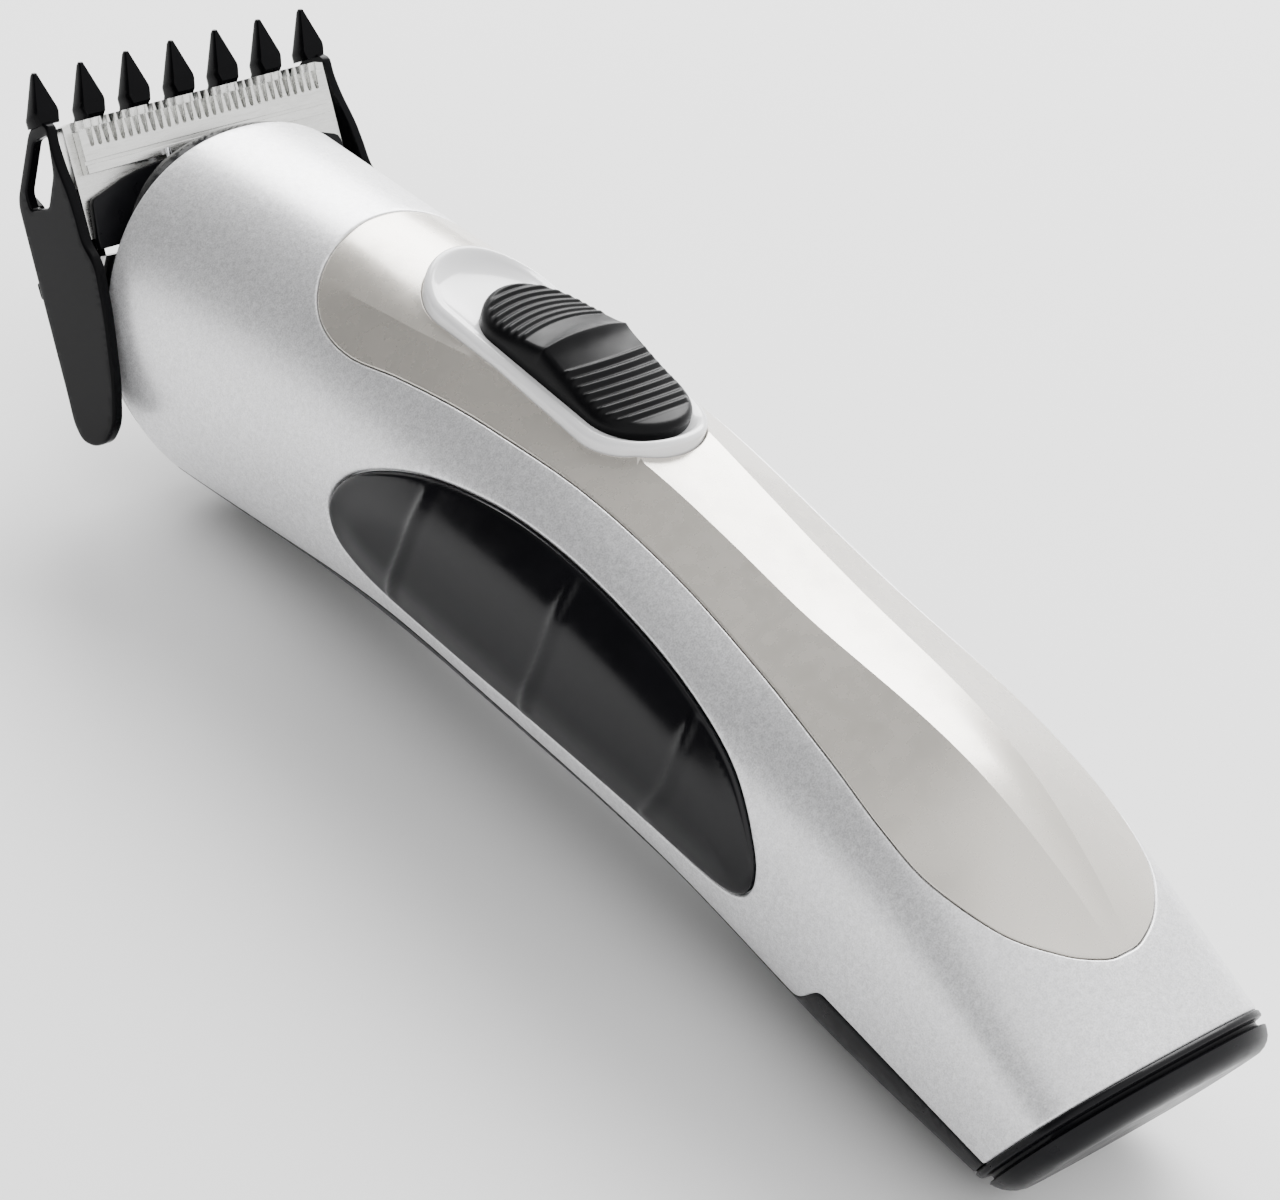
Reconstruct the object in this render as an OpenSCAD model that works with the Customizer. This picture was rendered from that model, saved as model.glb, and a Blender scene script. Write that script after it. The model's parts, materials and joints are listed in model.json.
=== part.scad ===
// Cordless hair clipper, lying on its belly. Millimetres, +X width, +Y tail to head, +Z up.
// The origin is at the centre of the footprint, on the surface that the clipper lies on.

/* [Casing] */
// Half width of the casing at its tail end
tail_half_w = 18.2; // [17:0.1:19]
// Half width of the casing at its middle
grip_half_w = 19.8; // [19.4:0.1:20.6]
// Half width of the casing at the head end of the grip
neck_half_w = 20.5; // [20:0.1:21]
// Wall thickness of the casing shells
wall = 1.8; // [1.4:0.1:2]
// Height of the tail's top edge above the surface
tail_top = 24; // [23:0.1:26]
// Height of the crown of the back
crown_z = 47.1; // [46.8:0.1:47.6]
// Slope of the cut at the tail
tail_tilt = 27; // [24:1:29]
// Slope of the cut at the head rim
rim_tilt = 15.4; // [14:0.2:17]

/* [Power switch] */
// Length of the sliding button
button_len = 30; // [28:0.5:30]
// Width of the sliding button
button_w = 14; // [12:0.5:14]
// Travel of the button from off to on
switch_travel = 6; // [4:0.5:6]

/* [Blades and comb] */
// Width across the cutting teeth
blade_w = 41; // [39:0.5:41]
// Slope of the blade against the surface
blade_tilt = 53; // [52:0.5:54]
// Number of teeth on the fixed blade
blade_teeth = 33; // [25:1:35]
// Half stroke of the moving blade
half_stroke = 1.1; // [0.8:0.1:1.1]
// Spacing of the comb's ribs
rib_pitch = 6.97; // [6.7:0.01:7]
// Thickness of one rib of the comb
rib_t = 1.4; // [1.2:0.1:1.6]

/* [Drive] */
// Diameter of the motor can
motor_d = 23.8; // [21:0.1:23.8]
// Diameter of one battery cell
cell_d = 14.2; // [13.8:0.1:14.2]
// Length of one battery cell
cell_len = 49; // [44:0.5:49]

/* [Hidden] */

// Stations of the casing are this far apart along Y, from the tail end
step = 30;
half_widths = [tail_half_w, 19, 19.4, grip_half_w, 19.3, neck_half_w, 24.2];
top_heights = [tail_top, 37.6, 41.8, 46.2, crown_z, 45.1, 41.5];
belly_heights = [0, 0.3, 4.1, 4.3, 3.1, 0.3, 0];
tail_y = 4.5;
rim_y = 158.6;
// Distance from the tail station to the middle of the whole clipper
middle_y = 88.17;
// Lift that puts the lowest edge on the surface
lift_z = 0.14;
// Small gap between a fixed skin and the casing under it
skin_gap = 0.06;

// Switch plane: where the bezel's rim lies, and its slope along Y
switch_y = 104.75;
switch_z = 48.1;
switch_slope = 2;
bezel_len = 41.5;
bezel_w = 17.2;
recess_depth = 2;
button_rest = -3.55;

// Blade plane: the tips of the fixed blade
tip_y = 173.6;
tip_z = 43.3;
plate_t = 1.3;
tooth_pitch = (blade_w - 2) / blade_teeth;

motor_z = 22;
motor_y = 107;
motor_len = 30;
shaft_r = 1;
cam_r = 4;
pin_r = 1.25;
pin_offset = 1.1;
cell_x = 7.4;
cell_z = 18;
cell_y = 24;
plate_z = 8.5;
board_z = 37.4;
eps = 0.01;

// Smooth curve through the list v, at place u counted in steps
function spline(v, u) =
    let (n = len(v) - 1)
    let (i = max(0, min(n - 1, floor(u))))
    let (t = u - i)
    let (b = v[i], c = v[i + 1])
    let (a = i > 0 ? v[i - 1] : 2 * b - c)
    let (d = i < n - 1 ? v[i + 2] : 2 * c - b)
    0.5 * (2 * b + (c - a) * t + (2 * a - 5 * b + 4 * c - d) * t * t
        + (3 * b - a - 3 * c + d) * t * t * t);

function half_w(y) = spline(half_widths, y / step);
function top_z(y) = spline(top_heights, y / step);
function belly_z(y) = spline(belly_heights, y / step);
function mid_z(y) = (top_z(y) + belly_z(y)) / 2;
function clamp01(t) = max(0, min(1, t));
function smooth(t) = let (c = clamp01(t)) c * c * (3 - 2 * c);
function squareness(y) = 2.65 - 0.5 * clamp01(y / 100);
function signed_pow(x, p) = sign(x) * pow(abs(x), p);

// Point of the casing's skin at height station y and angle a round the section, d outside it
function skin(y, a, d) =
    let (p = 2 / squareness(y))
    [(half_w(y) + d) * signed_pow(cos(a), p),
     y,
     mid_z(y) + ((top_z(y) - belly_z(y)) / 2 + d) * signed_pow(sin(a), p)];

// The same point on a cut that leans with the tail or the head rim
function lean(y) = y < 40 ? -tail_tilt * (1 - smooth((y - tail_y) / 36))
    : rim_tilt * smooth((y - 128) / 30);
// Extra sweep of the rim towards the tail, below the middle of the section
rim_sweep = 0.0135;
function swept(d) = rim_sweep * pow(min(0, d), 2);
function leaned(y, z) =
    y + tan(lean(y)) * (z - mid_z(y)) - (y < 40 ? 0 : smooth((y - 128) / 30) * swept(z - mid_z(y)));
function cut_skin(y, a, d) =
    let (z1 = skin(y, a, d).z)
    let (z2 = skin(leaned(y, z1), a, d).z)
    let (q = skin(leaned(y, z2), a, d))
    [q.x, leaned(y, q.z), q.z];

// Angle below the side at which the upper and lower casings meet
function parting(y) = 16 + 21 * smooth((y - 32) / 6) + 10 * smooth((y - 105) / 30);

// Closed solid between two grids of points, open sheets or closed round the section
module between(outer, inner, wrap = false) {
    m = len(outer);
    n = len(outer[0]);
    k = m * n;
    cols = wrap ? n : n - 1;
    function o(i, j) = i * n + j % n;
    function q(i, j) = k + i * n + j % n;
    walls = [for (i = [0:m - 2], j = [0:cols - 1]) each [
        [o(i, j), o(i + 1, j), o(i + 1, j + 1)], [o(i, j), o(i + 1, j + 1), o(i, j + 1)],
        [q(i, j), q(i + 1, j + 1), q(i + 1, j)], [q(i, j), q(i, j + 1), q(i + 1, j + 1)]]];
    edges = wrap ? [] : [for (i = [0:m - 2]) each [
        [o(i, 0), q(i, 0), q(i + 1, 0)], [o(i, 0), q(i + 1, 0), o(i + 1, 0)],
        [o(i, n - 1), o(i + 1, n - 1), q(i + 1, n - 1)], [o(i, n - 1), q(i + 1, n - 1), q(i, n - 1)]]];
    ends = [for (j = [0:cols - 1]) each [
        [o(0, j), o(0, j + 1), q(0, j + 1)], [o(0, j), q(0, j + 1), q(0, j)],
        [o(m - 1, j), q(m - 1, j), q(m - 1, j + 1)], [o(m - 1, j), q(m - 1, j + 1), o(m - 1, j + 1)]]];
    polyhedron(points = [each [for (r = outer) each r], each [for (r = inner) each r]],
        faces = concat(walls, edges, ends), convexity = 6);
}

// Closed solid through rows of points, one row round each section
module loft(rows) {
    m = len(rows);
    n = len(rows[0]);
    walls = [for (i = [0:m - 2], j = [0:n - 1]) each [
        [i * n + j, (i + 1) * n + j, (i + 1) * n + (j + 1) % n],
        [i * n + j, (i + 1) * n + (j + 1) % n, i * n + (j + 1) % n]]];
    first = [for (j = [1:n - 2]) [0, j, j + 1]];
    last = [for (j = [1:n - 2]) [(m - 1) * n, (m - 1) * n + j + 1, (m - 1) * n + j]];
    polyhedron(points = [for (r = rows) each r], faces = concat(walls, first, last), convexity = 4);
}

// Places a part drawn from the tail station into the clipper's own frame
module placed() {
    translate([0, -middle_y, lift_z]) children();
}

module switch_frame() {
    translate([0, switch_y, switch_z]) rotate([switch_slope, 0, 0]) children();
}

module blade_frame() {
    translate([0, tip_y, tip_z]) rotate([blade_tilt, 0, 0]) children();
}

// Upright slab with round ends, length along Y
module racetrack(length, width, z0, z1) {
    straight = length - width;
    translate([-width / 2, -straight / 2, z0]) cube([width, straight, z1 - z0]);
    for (side = [-1, 1])
        translate([0, side * straight / 2, z0]) cylinder(d = width, h = z1 - z0);
}

// Slab in the YZ plane, from the points given, between two places along X
module side_slab(points, x0, x1) {
    translate([x0, 0, 0]) rotate([90, 0, 90]) linear_extrude(x1 - x0) polygon(points);
}

// Bar along Y, centred on its own axis
module along_y(x, y0, z, r, length) {
    translate([x, y0, z]) rotate([-90, 0, 0]) cylinder(r = r, h = length, $fn = 48);
}

// ---- Casing ----

module casing_sheet(a0, a1, cols, rows) {
    ys = [for (i = [0:rows]) tail_y + (rim_y - tail_y) * i / rows];
    function angle(y, j) = a0(y) + (a1(y) - a0(y)) * j / cols;
    between([for (y = ys) [for (j = [0:cols]) cut_skin(y, angle(y, j), 0)]],
        [for (y = ys) [for (j = [0:cols]) cut_skin(y, angle(y, j), -wall)]]);
}

module upper_casing() {
    color("silver") difference() {
        casing_sheet(function (y) -parting(y), function (y) 180 + parting(y), 34, 36);
        switch_frame() racetrack(bezel_len + 0.2, bezel_w + 0.2, -8, 4);
    }
}

screw_places = [[0, 88], [-6, 137], [6, 137]];
post_r = 3;
screw_r = 1.1;
screw_head_r = 2.2;
screw_head_t = 1.4;
// Depth of a screw's seat inside the belly
seat_depth = 3.2;
// Height of the belly's outside at a distance x from the middle
function belly_at(x, y) =
    let (n = squareness(y))
    mid_z(y) - (mid_z(y) - belly_z(y)) * pow(1 - pow(abs(x) / half_w(y), n), 1 / n);
function seat_z(p) = belly_at(p.x, p.y) + seat_depth;

module lower_casing() {
    color([0.07, 0.07, 0.08]) difference() {
        casing_sheet(function (y) 180 + parting(y), function (y) 360 - parting(y), 16, 36);
        for (p = screw_places)
            translate([p.x, p.y, -1]) cylinder(r = screw_head_r + 0.15, h = 20, $fn = 32);
    }
}

module casing_screws() {
    color([0.75, 0.75, 0.78]) for (p = screw_places) translate([p.x, p.y, seat_z(p)]) {
        translate([0, 0, -screw_head_t]) difference() {
            cylinder(r = screw_head_r, h = screw_head_t, $fn = 32);
            for (turn = [0, 90])
                rotate(turn) translate([-1.3, -0.3, -eps]) cube([2.6, 0.6, 0.7]);
        }
        translate([0, 0, -eps]) cylinder(r = screw_r, h = 5, $fn = 32);
    }
}

// Half width of the pale panel along the back
panel_from = 9.5;
panel_to = 137.6;
function panel_half(y) =
    let (waist = 11.7 + 3.6 * pow(abs(cos(180 * (y - panel_from) / (panel_to - panel_from))), 1.6))
    let (tail_end = sqrt(clamp01(1 - pow((panel_from + 22 - min(y, panel_from + 22)) / 22, 2))))
    let (head_end = sqrt(clamp01(1 - pow((max(y, panel_to - 11) - panel_to + 11) / 11, 2))))
    waist * max(0.08, tail_end * head_end);

// Angle round the section at which the skin is x away from the middle plane
function angle_at(y, x) = acos(pow(min(1, x / half_w(y)), squareness(y) / 2));

module top_panel() {
    rows = 40;
    cols = 14;
    ys = [for (i = [0:rows]) panel_from + (panel_to - panel_from) * (1 - cos(180 * i / rows)) / 2];
    function angle(y, j) = let (a = angle_at(y, panel_half(y))) a + (180 - 2 * a) * j / cols;
    color([0.93, 0.92, 0.9]) difference() {
        between([for (y = ys) [for (j = [0:cols]) skin(y, angle(y, j), 0.9)]],
            [for (y = ys) [for (j = [0:cols]) skin(y, angle(y, j), skin_gap)]]);
        switch_frame() racetrack(bezel_len + 0.2, bezel_w + 0.2, -8, 4);
    }
}

// Side grip: a leaf that bulges towards the back, from its tail tip to its head tip
grip_from = 45;
grip_to = 118.5;
grip_t = 0.9;
module grip(side) {
    rows = 28;
    cols = 8;
    ys = [for (i = [0:rows]) grip_from + (grip_to - grip_from) * (1 - cos(180 * i / rows)) / 2];
    function place(y) = (y - grip_from) / (grip_to - grip_from);
    function bow(y) = max(0.03, sqrt(clamp01(1 - pow(2 * place(y) - 1, 2))));
    function angle(y, j) =
        let (up = 1 + 35 * bow(y) * (1 - 0.12 * place(y)), down = -8 - 17 * bow(y))
        let (a = down + (up - down) * j / cols)
        side > 0 ? a : 180 - a;
    outer = [for (y = ys) [for (j = [0:cols]) skin(y, angle(y, j), grip_t)]];
    inner = [for (y = ys) [for (j = [0:cols]) skin(y, angle(y, j), skin_gap)]];
    color([0.06, 0.06, 0.07])
        if (side > 0) between(outer, inner);
        else between(inner, outer);
}

module left_grip() {
    grip(-1);
}

module right_grip() {
    grip(1);
}

// Rows of the tail cap: place along Y and distance outside the skin
cap_profile = [[tail_y + 5, -wall - 0.2], [tail_y, -wall - 0.2], [tail_y - 0.05, 0.1],
    [tail_y - 0.9, 0.1], [tail_y - 1.1, -0.9], [tail_y - 1.6, -0.9], [tail_y - 1.8, -0.1],
    [tail_y - 2.9, -0.6], [tail_y - 3.8, -1.5], [tail_y - 4.2, -2.4]];
contact_x = 5.5;

// Frame on the flat end of the tail, its +Z out of the clipper
module tail_face() {
    y = tail_y - 4.2;
    translate([0, y, mid_z(y)]) rotate([90 + tail_tilt, 0, 0]) children();
}

module tail_cap() {
    color([0.05, 0.05, 0.06]) difference() {
        loft([for (p = cap_profile) [for (j = [0:47]) cut_cap(p.x, -7.5 * j, p.y)]]);
        for (side = [-1, 1])
            tail_face() translate([side * contact_x - 1.6, -3.1, -0.6]) cube([3.2, 6.2, 2]);
    }
}

// Point of the cap: like the skin, on a flat cut with the tail's whole slope
function cut_cap(y, a, d) =
    let (z1 = skin(y, a, d).z)
    let (q = skin(y - tan(tail_tilt) * (z1 - mid_z(y)), a, d))
    [q.x, y - tan(tail_tilt) * (q.z - mid_z(y)), q.z];

module charge_contacts() {
    color([0.85, 0.7, 0.35]) for (side = [-1, 1])
        tail_face() translate([side * contact_x - 1.6, -3.1, -0.6]) cube([3.2, 6.2, 0.5]);
}

// Rows of the head collar: place along Y, distance outside the skin, and inside its bore
collar_profile = [[rim_y - 5, -wall - 0.2, -wall - 2], [rim_y, -wall - 0.2, -wall - 2],
    [rim_y + 0.05, -0.3, -wall - 2], [rim_y + 2.5, -0.9, -wall - 2.2],
    [rim_y + 4.8, -2.4, -wall - 2.4], [rim_y + 6, -3.9, -5.1]];
function on_cut(y, z) = y + tan(rim_tilt) * (z - mid_z(rim_y)) - swept(z - mid_z(rim_y));
function cut_collar(y, a, d) =
    let (z1 = skin(y, a, d).z)
    let (z2 = skin(on_cut(y, z1), a, d).z)
    let (q = skin(on_cut(y, z2), a, d))
    [q.x, on_cut(y, q.z), q.z];

module head_collar() {
    sides = 40;
    outer = [for (p = collar_profile) [for (j = [0:sides - 1]) cut_collar(p.x, 360 * j / sides, p.y)]];
    inner = [for (p = collar_profile) [for (j = [0:sides - 1]) cut_collar(p.x, 360 * j / sides, p.z)]];
    color([0.16, 0.16, 0.17]) difference() {
        between(outer, inner, wrap = true);
        blade_frame() translate([-30, -16.5, -plate_t - holder_t - 0.4]) cube([60, 40, 8.7]);
        blade_frame() translate([-14.5, -32, -plate_t - holder_t - 0.4]) cube([29, 30, 8.7]);
    }
}

// Wall across the head behind the blades, with a window for the yoke
module head_bulkhead() {
    rows = [rim_y - 5.4, rim_y - 7];
    color([0.1, 0.1, 0.11]) difference() {
        loft([for (y = rows) [for (j = [0:39]) cut_collar(y, -9 * j, -wall - 0.2)]]);
        translate([-7.5, 140, 14]) cube([15, 30, 23.5]);
    }
}

// ---- Inside ----

module chassis() {
    floor_w = 18;
    color([0.2, 0.2, 0.22]) difference() {
        union() {
            translate([-floor_w / 2, 20, plate_z]) cube([floor_w, 123, 1.6]);
            for (p = screw_places)
                translate([p.x, p.y, seat_z(p)])
                    cylinder(r = post_r, h = plate_z + 1 - seat_z(p), $fn = 32);
            for (y = [30, 64])
                translate([-11.5, y, plate_z + 1]) cube([23, 2.6, 8]);
            for (y = [111, 129])
                translate([-10, y, plate_z + 1]) cube([20, 3, 9]);
            for (x = [-6, 6], y = [84, 98])
                translate([x, y, plate_z + 1]) cylinder(r = 2, h = board_z - plate_z - 1, $fn = 32);
        }
        for (x = [-cell_x, cell_x])
            along_y(x, 0, cell_z, cell_d / 2 + 0.05, 80);
        along_y(0, motor_y - 3, motor_z, motor_d / 2 + 0.05, 60);
        for (p = screw_places)
            translate([p.x, p.y, 0]) cylinder(r = screw_r, h = 12, $fn = 32);
    }
}

module battery_cells() {
    for (side = [-1, 1]) color([0.2, 0.45, 0.3]) {
        along_y(side * cell_x, cell_y, cell_z, cell_d / 2, cell_len);
        if (side > 0) along_y(cell_x, cell_y + cell_len, cell_z, 2.8, 0.9);
        else along_y(-cell_x, cell_y - 0.9, cell_z, 2.8, 0.9);
    }
}

module battery_straps() {
    front = cell_y + cell_len;
    color([0.8, 0.8, 0.78]) {
        difference() {
            translate([-11, front, cell_z - 3]) cube([22, 1.2, 6]);
            along_y(cell_x, front - 1, cell_z, 2.8, 1.9);
            translate([-3, front - eps, cell_z - 4]) cube([6, 0.9, 8]);
        }
        difference() {
            translate([-11, cell_y - 1.2, cell_z - 3]) cube([7.5, 1.2, 6]);
            along_y(-cell_x, cell_y - 0.9, cell_z, 2.8, 2);
        }
        translate([4, cell_y - 0.4, cell_z - 3]) cube([7, 0.4, 6]);
    }
}

module motor_can() {
    color([0.72, 0.72, 0.75]) difference() {
        along_y(0, motor_y + 2, motor_z, motor_d / 2, motor_len - 2);
        along_y(0, motor_y + 1, motor_z, motor_d / 2 - 1, motor_len - 2);
        along_y(0, motor_y, motor_z, 3, motor_len + 5);
    }
}

module motor_end_bell() {
    color([0.9, 0.9, 0.86]) difference() {
        union() {
            along_y(0, motor_y, motor_z, motor_d / 2, 2);
            along_y(0, motor_y - 1.6, motor_z, 4, 1.7);
        }
        along_y(0, motor_y - 0.2, motor_z, shaft_r + 0.05, 4);
    }
}

module motor_bush() {
    y = motor_y + motor_len;
    color([0.8, 0.65, 0.3]) difference() {
        union() {
            along_y(0, y - 1, motor_z, 3, 1);
            along_y(0, y, motor_z, 3.6, 1.6);
        }
        along_y(0, y - 2, motor_z, shaft_r + 0.05, 6);
    }
}

module circuit_board() {
    color([0.1, 0.4, 0.2]) difference() {
        translate([-9, 80, board_z]) cube([18, 50, 1.2]);
        translate([0, 126, board_z - 1]) cylinder(r = 1.2, h = 4, $fn = 32);
    }
}

module board_parts() {
    top = board_z + 1.2;
    color([0.15, 0.15, 0.16]) {
        translate([-7, 84, top]) cube([5, 4, 1.6]);
        translate([2.5, 84, top]) cube([4, 3.2, 1.2]);
        translate([4.5, 121, top]) cylinder(r = 2.5, h = 3.6, $fn = 32);
        translate([-7, 118, top]) cube([4.4, 6, 1.1]);
    }
}

knob_y = switch_y + button_rest;
knob_l = 3.6;
module power_switch() {
    body_l = knob_l + switch_travel + 5;
    mid = knob_y + switch_travel / 2;
    color([0.75, 0.75, 0.72]) difference() {
        translate([-4.3, mid - body_l / 2, board_z + 1.2]) cube([8.6, body_l, 3.6]);
        translate([-2, mid - body_l / 2 + 2, board_z + 2.2]) cube([4, body_l - 4, 4]);
    }
}

module switch_knob() {
    color([0.1, 0.1, 0.1])
        translate([-1.6, knob_y - knob_l / 2, board_z + 2.5]) cube([3.2, knob_l, 6.1]);
}

module motor_shaft() {
    color([0.85, 0.85, 0.88]) along_y(0, motor_y, motor_z, shaft_r, motor_len + 8.9);
}

// Cam on the shaft's end, with the off-centre pin that moves the yoke
cam_y = motor_y + motor_len + 2.4;
module eccentric_cam() {
    color([0.9, 0.9, 0.85]) {
        difference() {
            along_y(0, cam_y, motor_z, cam_r, 7.2);
            along_y(0, cam_y - 1, motor_z, shaft_r, 8.6 - 1);
        }
        along_y(0, cam_y + 7.2, motor_z + pin_offset, pin_r, 4.4);
    }
}

// ---- Power switch ----

module switch_bezel() {
    color([0.97, 0.97, 0.97]) switch_frame() difference() {
        racetrack(bezel_len, bezel_w, -4, 0);
        racetrack(bezel_len - 2.6, bezel_w - 2.6, -recess_depth, 1);
        translate([-3.1, button_rest - 6.6, -6]) cube([6.2, 13.2 + switch_travel, 6]);
    }
}

module switch_button() {
    hump_r = 13;
    color([0.05, 0.05, 0.06]) switch_frame() translate([0, button_rest, 0]) {
        difference() {
            union() {
                racetrack(button_len, button_w, -recess_depth + 0.25, 1.2);
                translate([-2.6, -5.8, -4.9]) cube([5.2, 11.6, 4]);
                intersection() {
                    racetrack(button_len, button_w - 0.6, 0, 5);
                    translate([-10, 0, 3.6 - hump_r]) rotate([0, 90, 0])
                        cylinder(r = hump_r, h = 20, $fn = 64);
                }
                for (side = [-1, 1], i = [0:4])
                    translate([-5, side * (8 + 1.4 * i) - 0.35, 1]) cube([10, 0.7, 0.9]);
            }
            translate([-1.75, -knob_l / 2 - 0.2, -6]) cube([3.5, knob_l + 0.4, 4.6]);
        }
    }
}

// ---- Blade unit ----

// Row of teeth: slots cut into a plate's front edge
module tooth_slots(count, depth, front) {
    for (i = [0:count - 1])
        translate([(i - (count - 1) / 2) * tooth_pitch - tooth_pitch * 0.22, front - depth, -5])
            cube([tooth_pitch * 0.44, depth + 1, 10]);
}

blade_screw_x = 11;
blade_screw_y = -12.4;
lug_y = -14.2;
module fixed_blade() {
    half = blade_w / 2;
    color([0.8, 0.8, 0.82]) blade_frame() difference() {
        translate([0, 0, -plate_t]) linear_extrude(plate_t)
            polygon([[-half, 0], [half, 0], [half, lug_y], [half - 0.8, lug_y], [half - 1.6, lug_y + 1],
                [1.6 - half, lug_y + 1], [0.8 - half, lug_y], [-half, lug_y]]);
        tooth_slots(blade_teeth, 2.9, 0);
        for (side = [-1, 1])
            translate([side * blade_screw_x, blade_screw_y, -5]) cylinder(r = 1.2, h = 10, $fn = 32);
    }
}

moving_rear = -6.5;
module moving_blade() {
    width = blade_w - 2.4;
    color([0.85, 0.85, 0.87]) blade_frame() translate([0, 0, 0.05]) difference() {
        translate([-width / 2, moving_rear, 0]) cube([width, -1 - moving_rear, 1.3]);
        tooth_slots(blade_teeth - 2, 2.4, -1);
        translate([-width, -5.35, 0.9]) cube([2 * width, 0.5, 1]);
    }
}

// Yoke that joins the moving blade to the cam's pin; its window leaves the pin room all round
window_half = pin_offset + pin_r + half_stroke + 0.25;
yoke_y = cam_y + 7.6;
module drive_yoke() {
    color([0.92, 0.92, 0.88]) {
        difference() {
            translate([-window_half - 1.6, yoke_y, 16.5]) cube([2 * window_half + 3.2, 2.2, 16.1]);
            translate([-window_half, yoke_y - 1, motor_z - 4.2]) cube([2 * window_half, 5, 8.4]);
        }
        side_slab([[yoke_y + 0.3, 30], [yoke_y + 1.9, 29.5], [167.3, 36.3], [168.5, 38.2], [yoke_y + 0.3, 32.4]],
            -3.6, 3.6);
        blade_frame() translate([-3.2, moving_rear - 3, 0.06]) cube([6.4, 3, 1.1]);
    }
}

holder_t = 2.6;
shield_t = 1;
// Front edge of the holder's top shield, right half, from the yoke's gap out to the blade's lug
shield_half = [[6, -7], [12, -7.4], [16.6, -8.6], [18.8, -9.2], [19.6, -9.9], [20.2, lug_y]];
module blade_holder() {
    tray = [[168.8, 32], [168.2, 29.6], [160.8, 15], [157.2, 10.5], [155.2, 12.4], [158, 28.6], [166, 34]];
    hollow = [[150, 13.5], [158.2, 13.5], [166, 29.5], [166, 36], [150, 36]];
    under = -plate_t - holder_t;
    back = lug_y - 1.4;
    color([0.06, 0.06, 0.07]) {
        difference() {
            union() {
                side_slab(tray, -12.7, 12.7);
                blade_frame() translate([-20.2, back, under]) cube([40.4, -5 - back, holder_t]);
                translate([-13.6, 156.8, 12]) rotate([0, 90, 0]) cylinder(r = 0.9, h = 27.2, $fn = 32);
            }
            blade_frame() translate([-30, -40, -plate_t - 0.02]) cube([60, 60, 20]);
            side_slab(hollow, -11.5, 11.5);
            for (side = [-1, 1])
                blade_frame() translate([side * blade_screw_x, blade_screw_y, -5])
                    cylinder(r = 0.95, h = 10, $fn = 32);
        }
        for (side = [-1, 1]) blade_frame() difference() {
            union() {
                translate([0, 0, 0.02]) linear_extrude(shield_t)
                    polygon([for (p = concat(shield_half, [[20.2, back], [6, back]])) [side * p.x, p.y]]);
                translate([side * 13.1 - 6.9, back + 0.1, -plate_t - 0.1]) cube([13.8, 1.1, 2]);
            }
            translate([side * blade_screw_x, blade_screw_y, -5]) cylinder(r = 0.95, h = 10, $fn = 32);
        }
    }
}

module blade_screws() {
    color([0.75, 0.75, 0.78]) for (side = [-1, 1])
        blade_frame() translate([side * blade_screw_x, blade_screw_y, 0]) {
            translate([0, 0, shield_t + 0.04]) cylinder(r = 2, h = 0.9, $fn = 32);
            translate([0, 0, -3.8]) cylinder(r = 0.95, h = 3.9 + shield_t, $fn = 32);
        }
}

// Wire spring that presses the moving blade down: two coils and an arm each
module cutter_spring() {
    wire_r = 0.35;
    color([0.8, 0.8, 0.82]) blade_frame() for (side = [-1, 1]) {
        translate([side * 7.4, -13.4, 2.55]) rotate([0, 90, 0])
            rotate_extrude($fn = 64) translate([1.1, 0]) circle(r = wire_r, $fn = 32);
        translate([side * 7.4, -12.9, 1.75]) rotate([-90, 0, 0]) cylinder(r = wire_r, h = 7.2, $fn = 32);
    }
}

// ---- Guide comb ----

// Side view of a rib: the outer edge from tip to heel, then back up along the inside
rib_outline = [[177.9, 40.5], [178.7, 29.6], [165.6, 12.9], [163, 14.6], [173.4, 29.6], [174.6, 33.5],
    [175, 38.5], [175.2, 41.4], [176.6, 42]];
cheek_outline = [[177.8, 40.6], [178, 30.3], [169.4, 19.9], [162.5, 11.6], [160.2, 8.6], [158, 7.4],
    [155.6, 8.1], [153.2, 10.2], [152.2, 13.5], [153.6, 18.6], [157.2, 26.2], [160.6, 31.6],
    [163.8, 32.9], [165.7, 35.2], [167.8, 37.3], [170.8, 39.5], [172.9, 41.6], [173.9, 43.3], [176.2, 42.9]];
window_outline = [[176.3, 39.9], [173.9, 42.2], [171.6, 38], [171.5, 33.2], [174.9, 30.8], [176.4, 32.4]];
comb_half = 3 * rib_pitch;
// The cheeks stand this far out at cheek_y, and spread by cheek_spread for each millimetre towards the tail
cheek_in = 20.8;
cheek_out = 22.1;
cheek_y = 178;
cheek_spread = 0.065;
tooth_base = 3.8;
// The thick edge below each window reaches into the cheek
foot_out = 22.2;

// One wedge tooth: widest at its base beside the blade's tips, with a blunt tip
module comb_tooth(x, stem) {
    w = tooth_base / 2;
    n = rib_t / 2;
    t = 0.35;
    function row(half, outer, inner) = [[x + half, outer.x, outer.y], [x - half, outer.x, outer.y],
        [x - half, inner.x, inner.y], [x + half, inner.x, inner.y]];
    root = row(w - 0.3, [177.6, 40.8], [175.1, 42.8]);
    base = row(w, [177.9, 42], [175.9, 43.9]);
    tip = row(t, [179.9, 47.3], [179.3, 47.7]);
    loft(stem ? [row(n, [178.1, 36.5], [175.6, 38]), root, base, tip] : [root, base, tip]);
}

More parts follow.
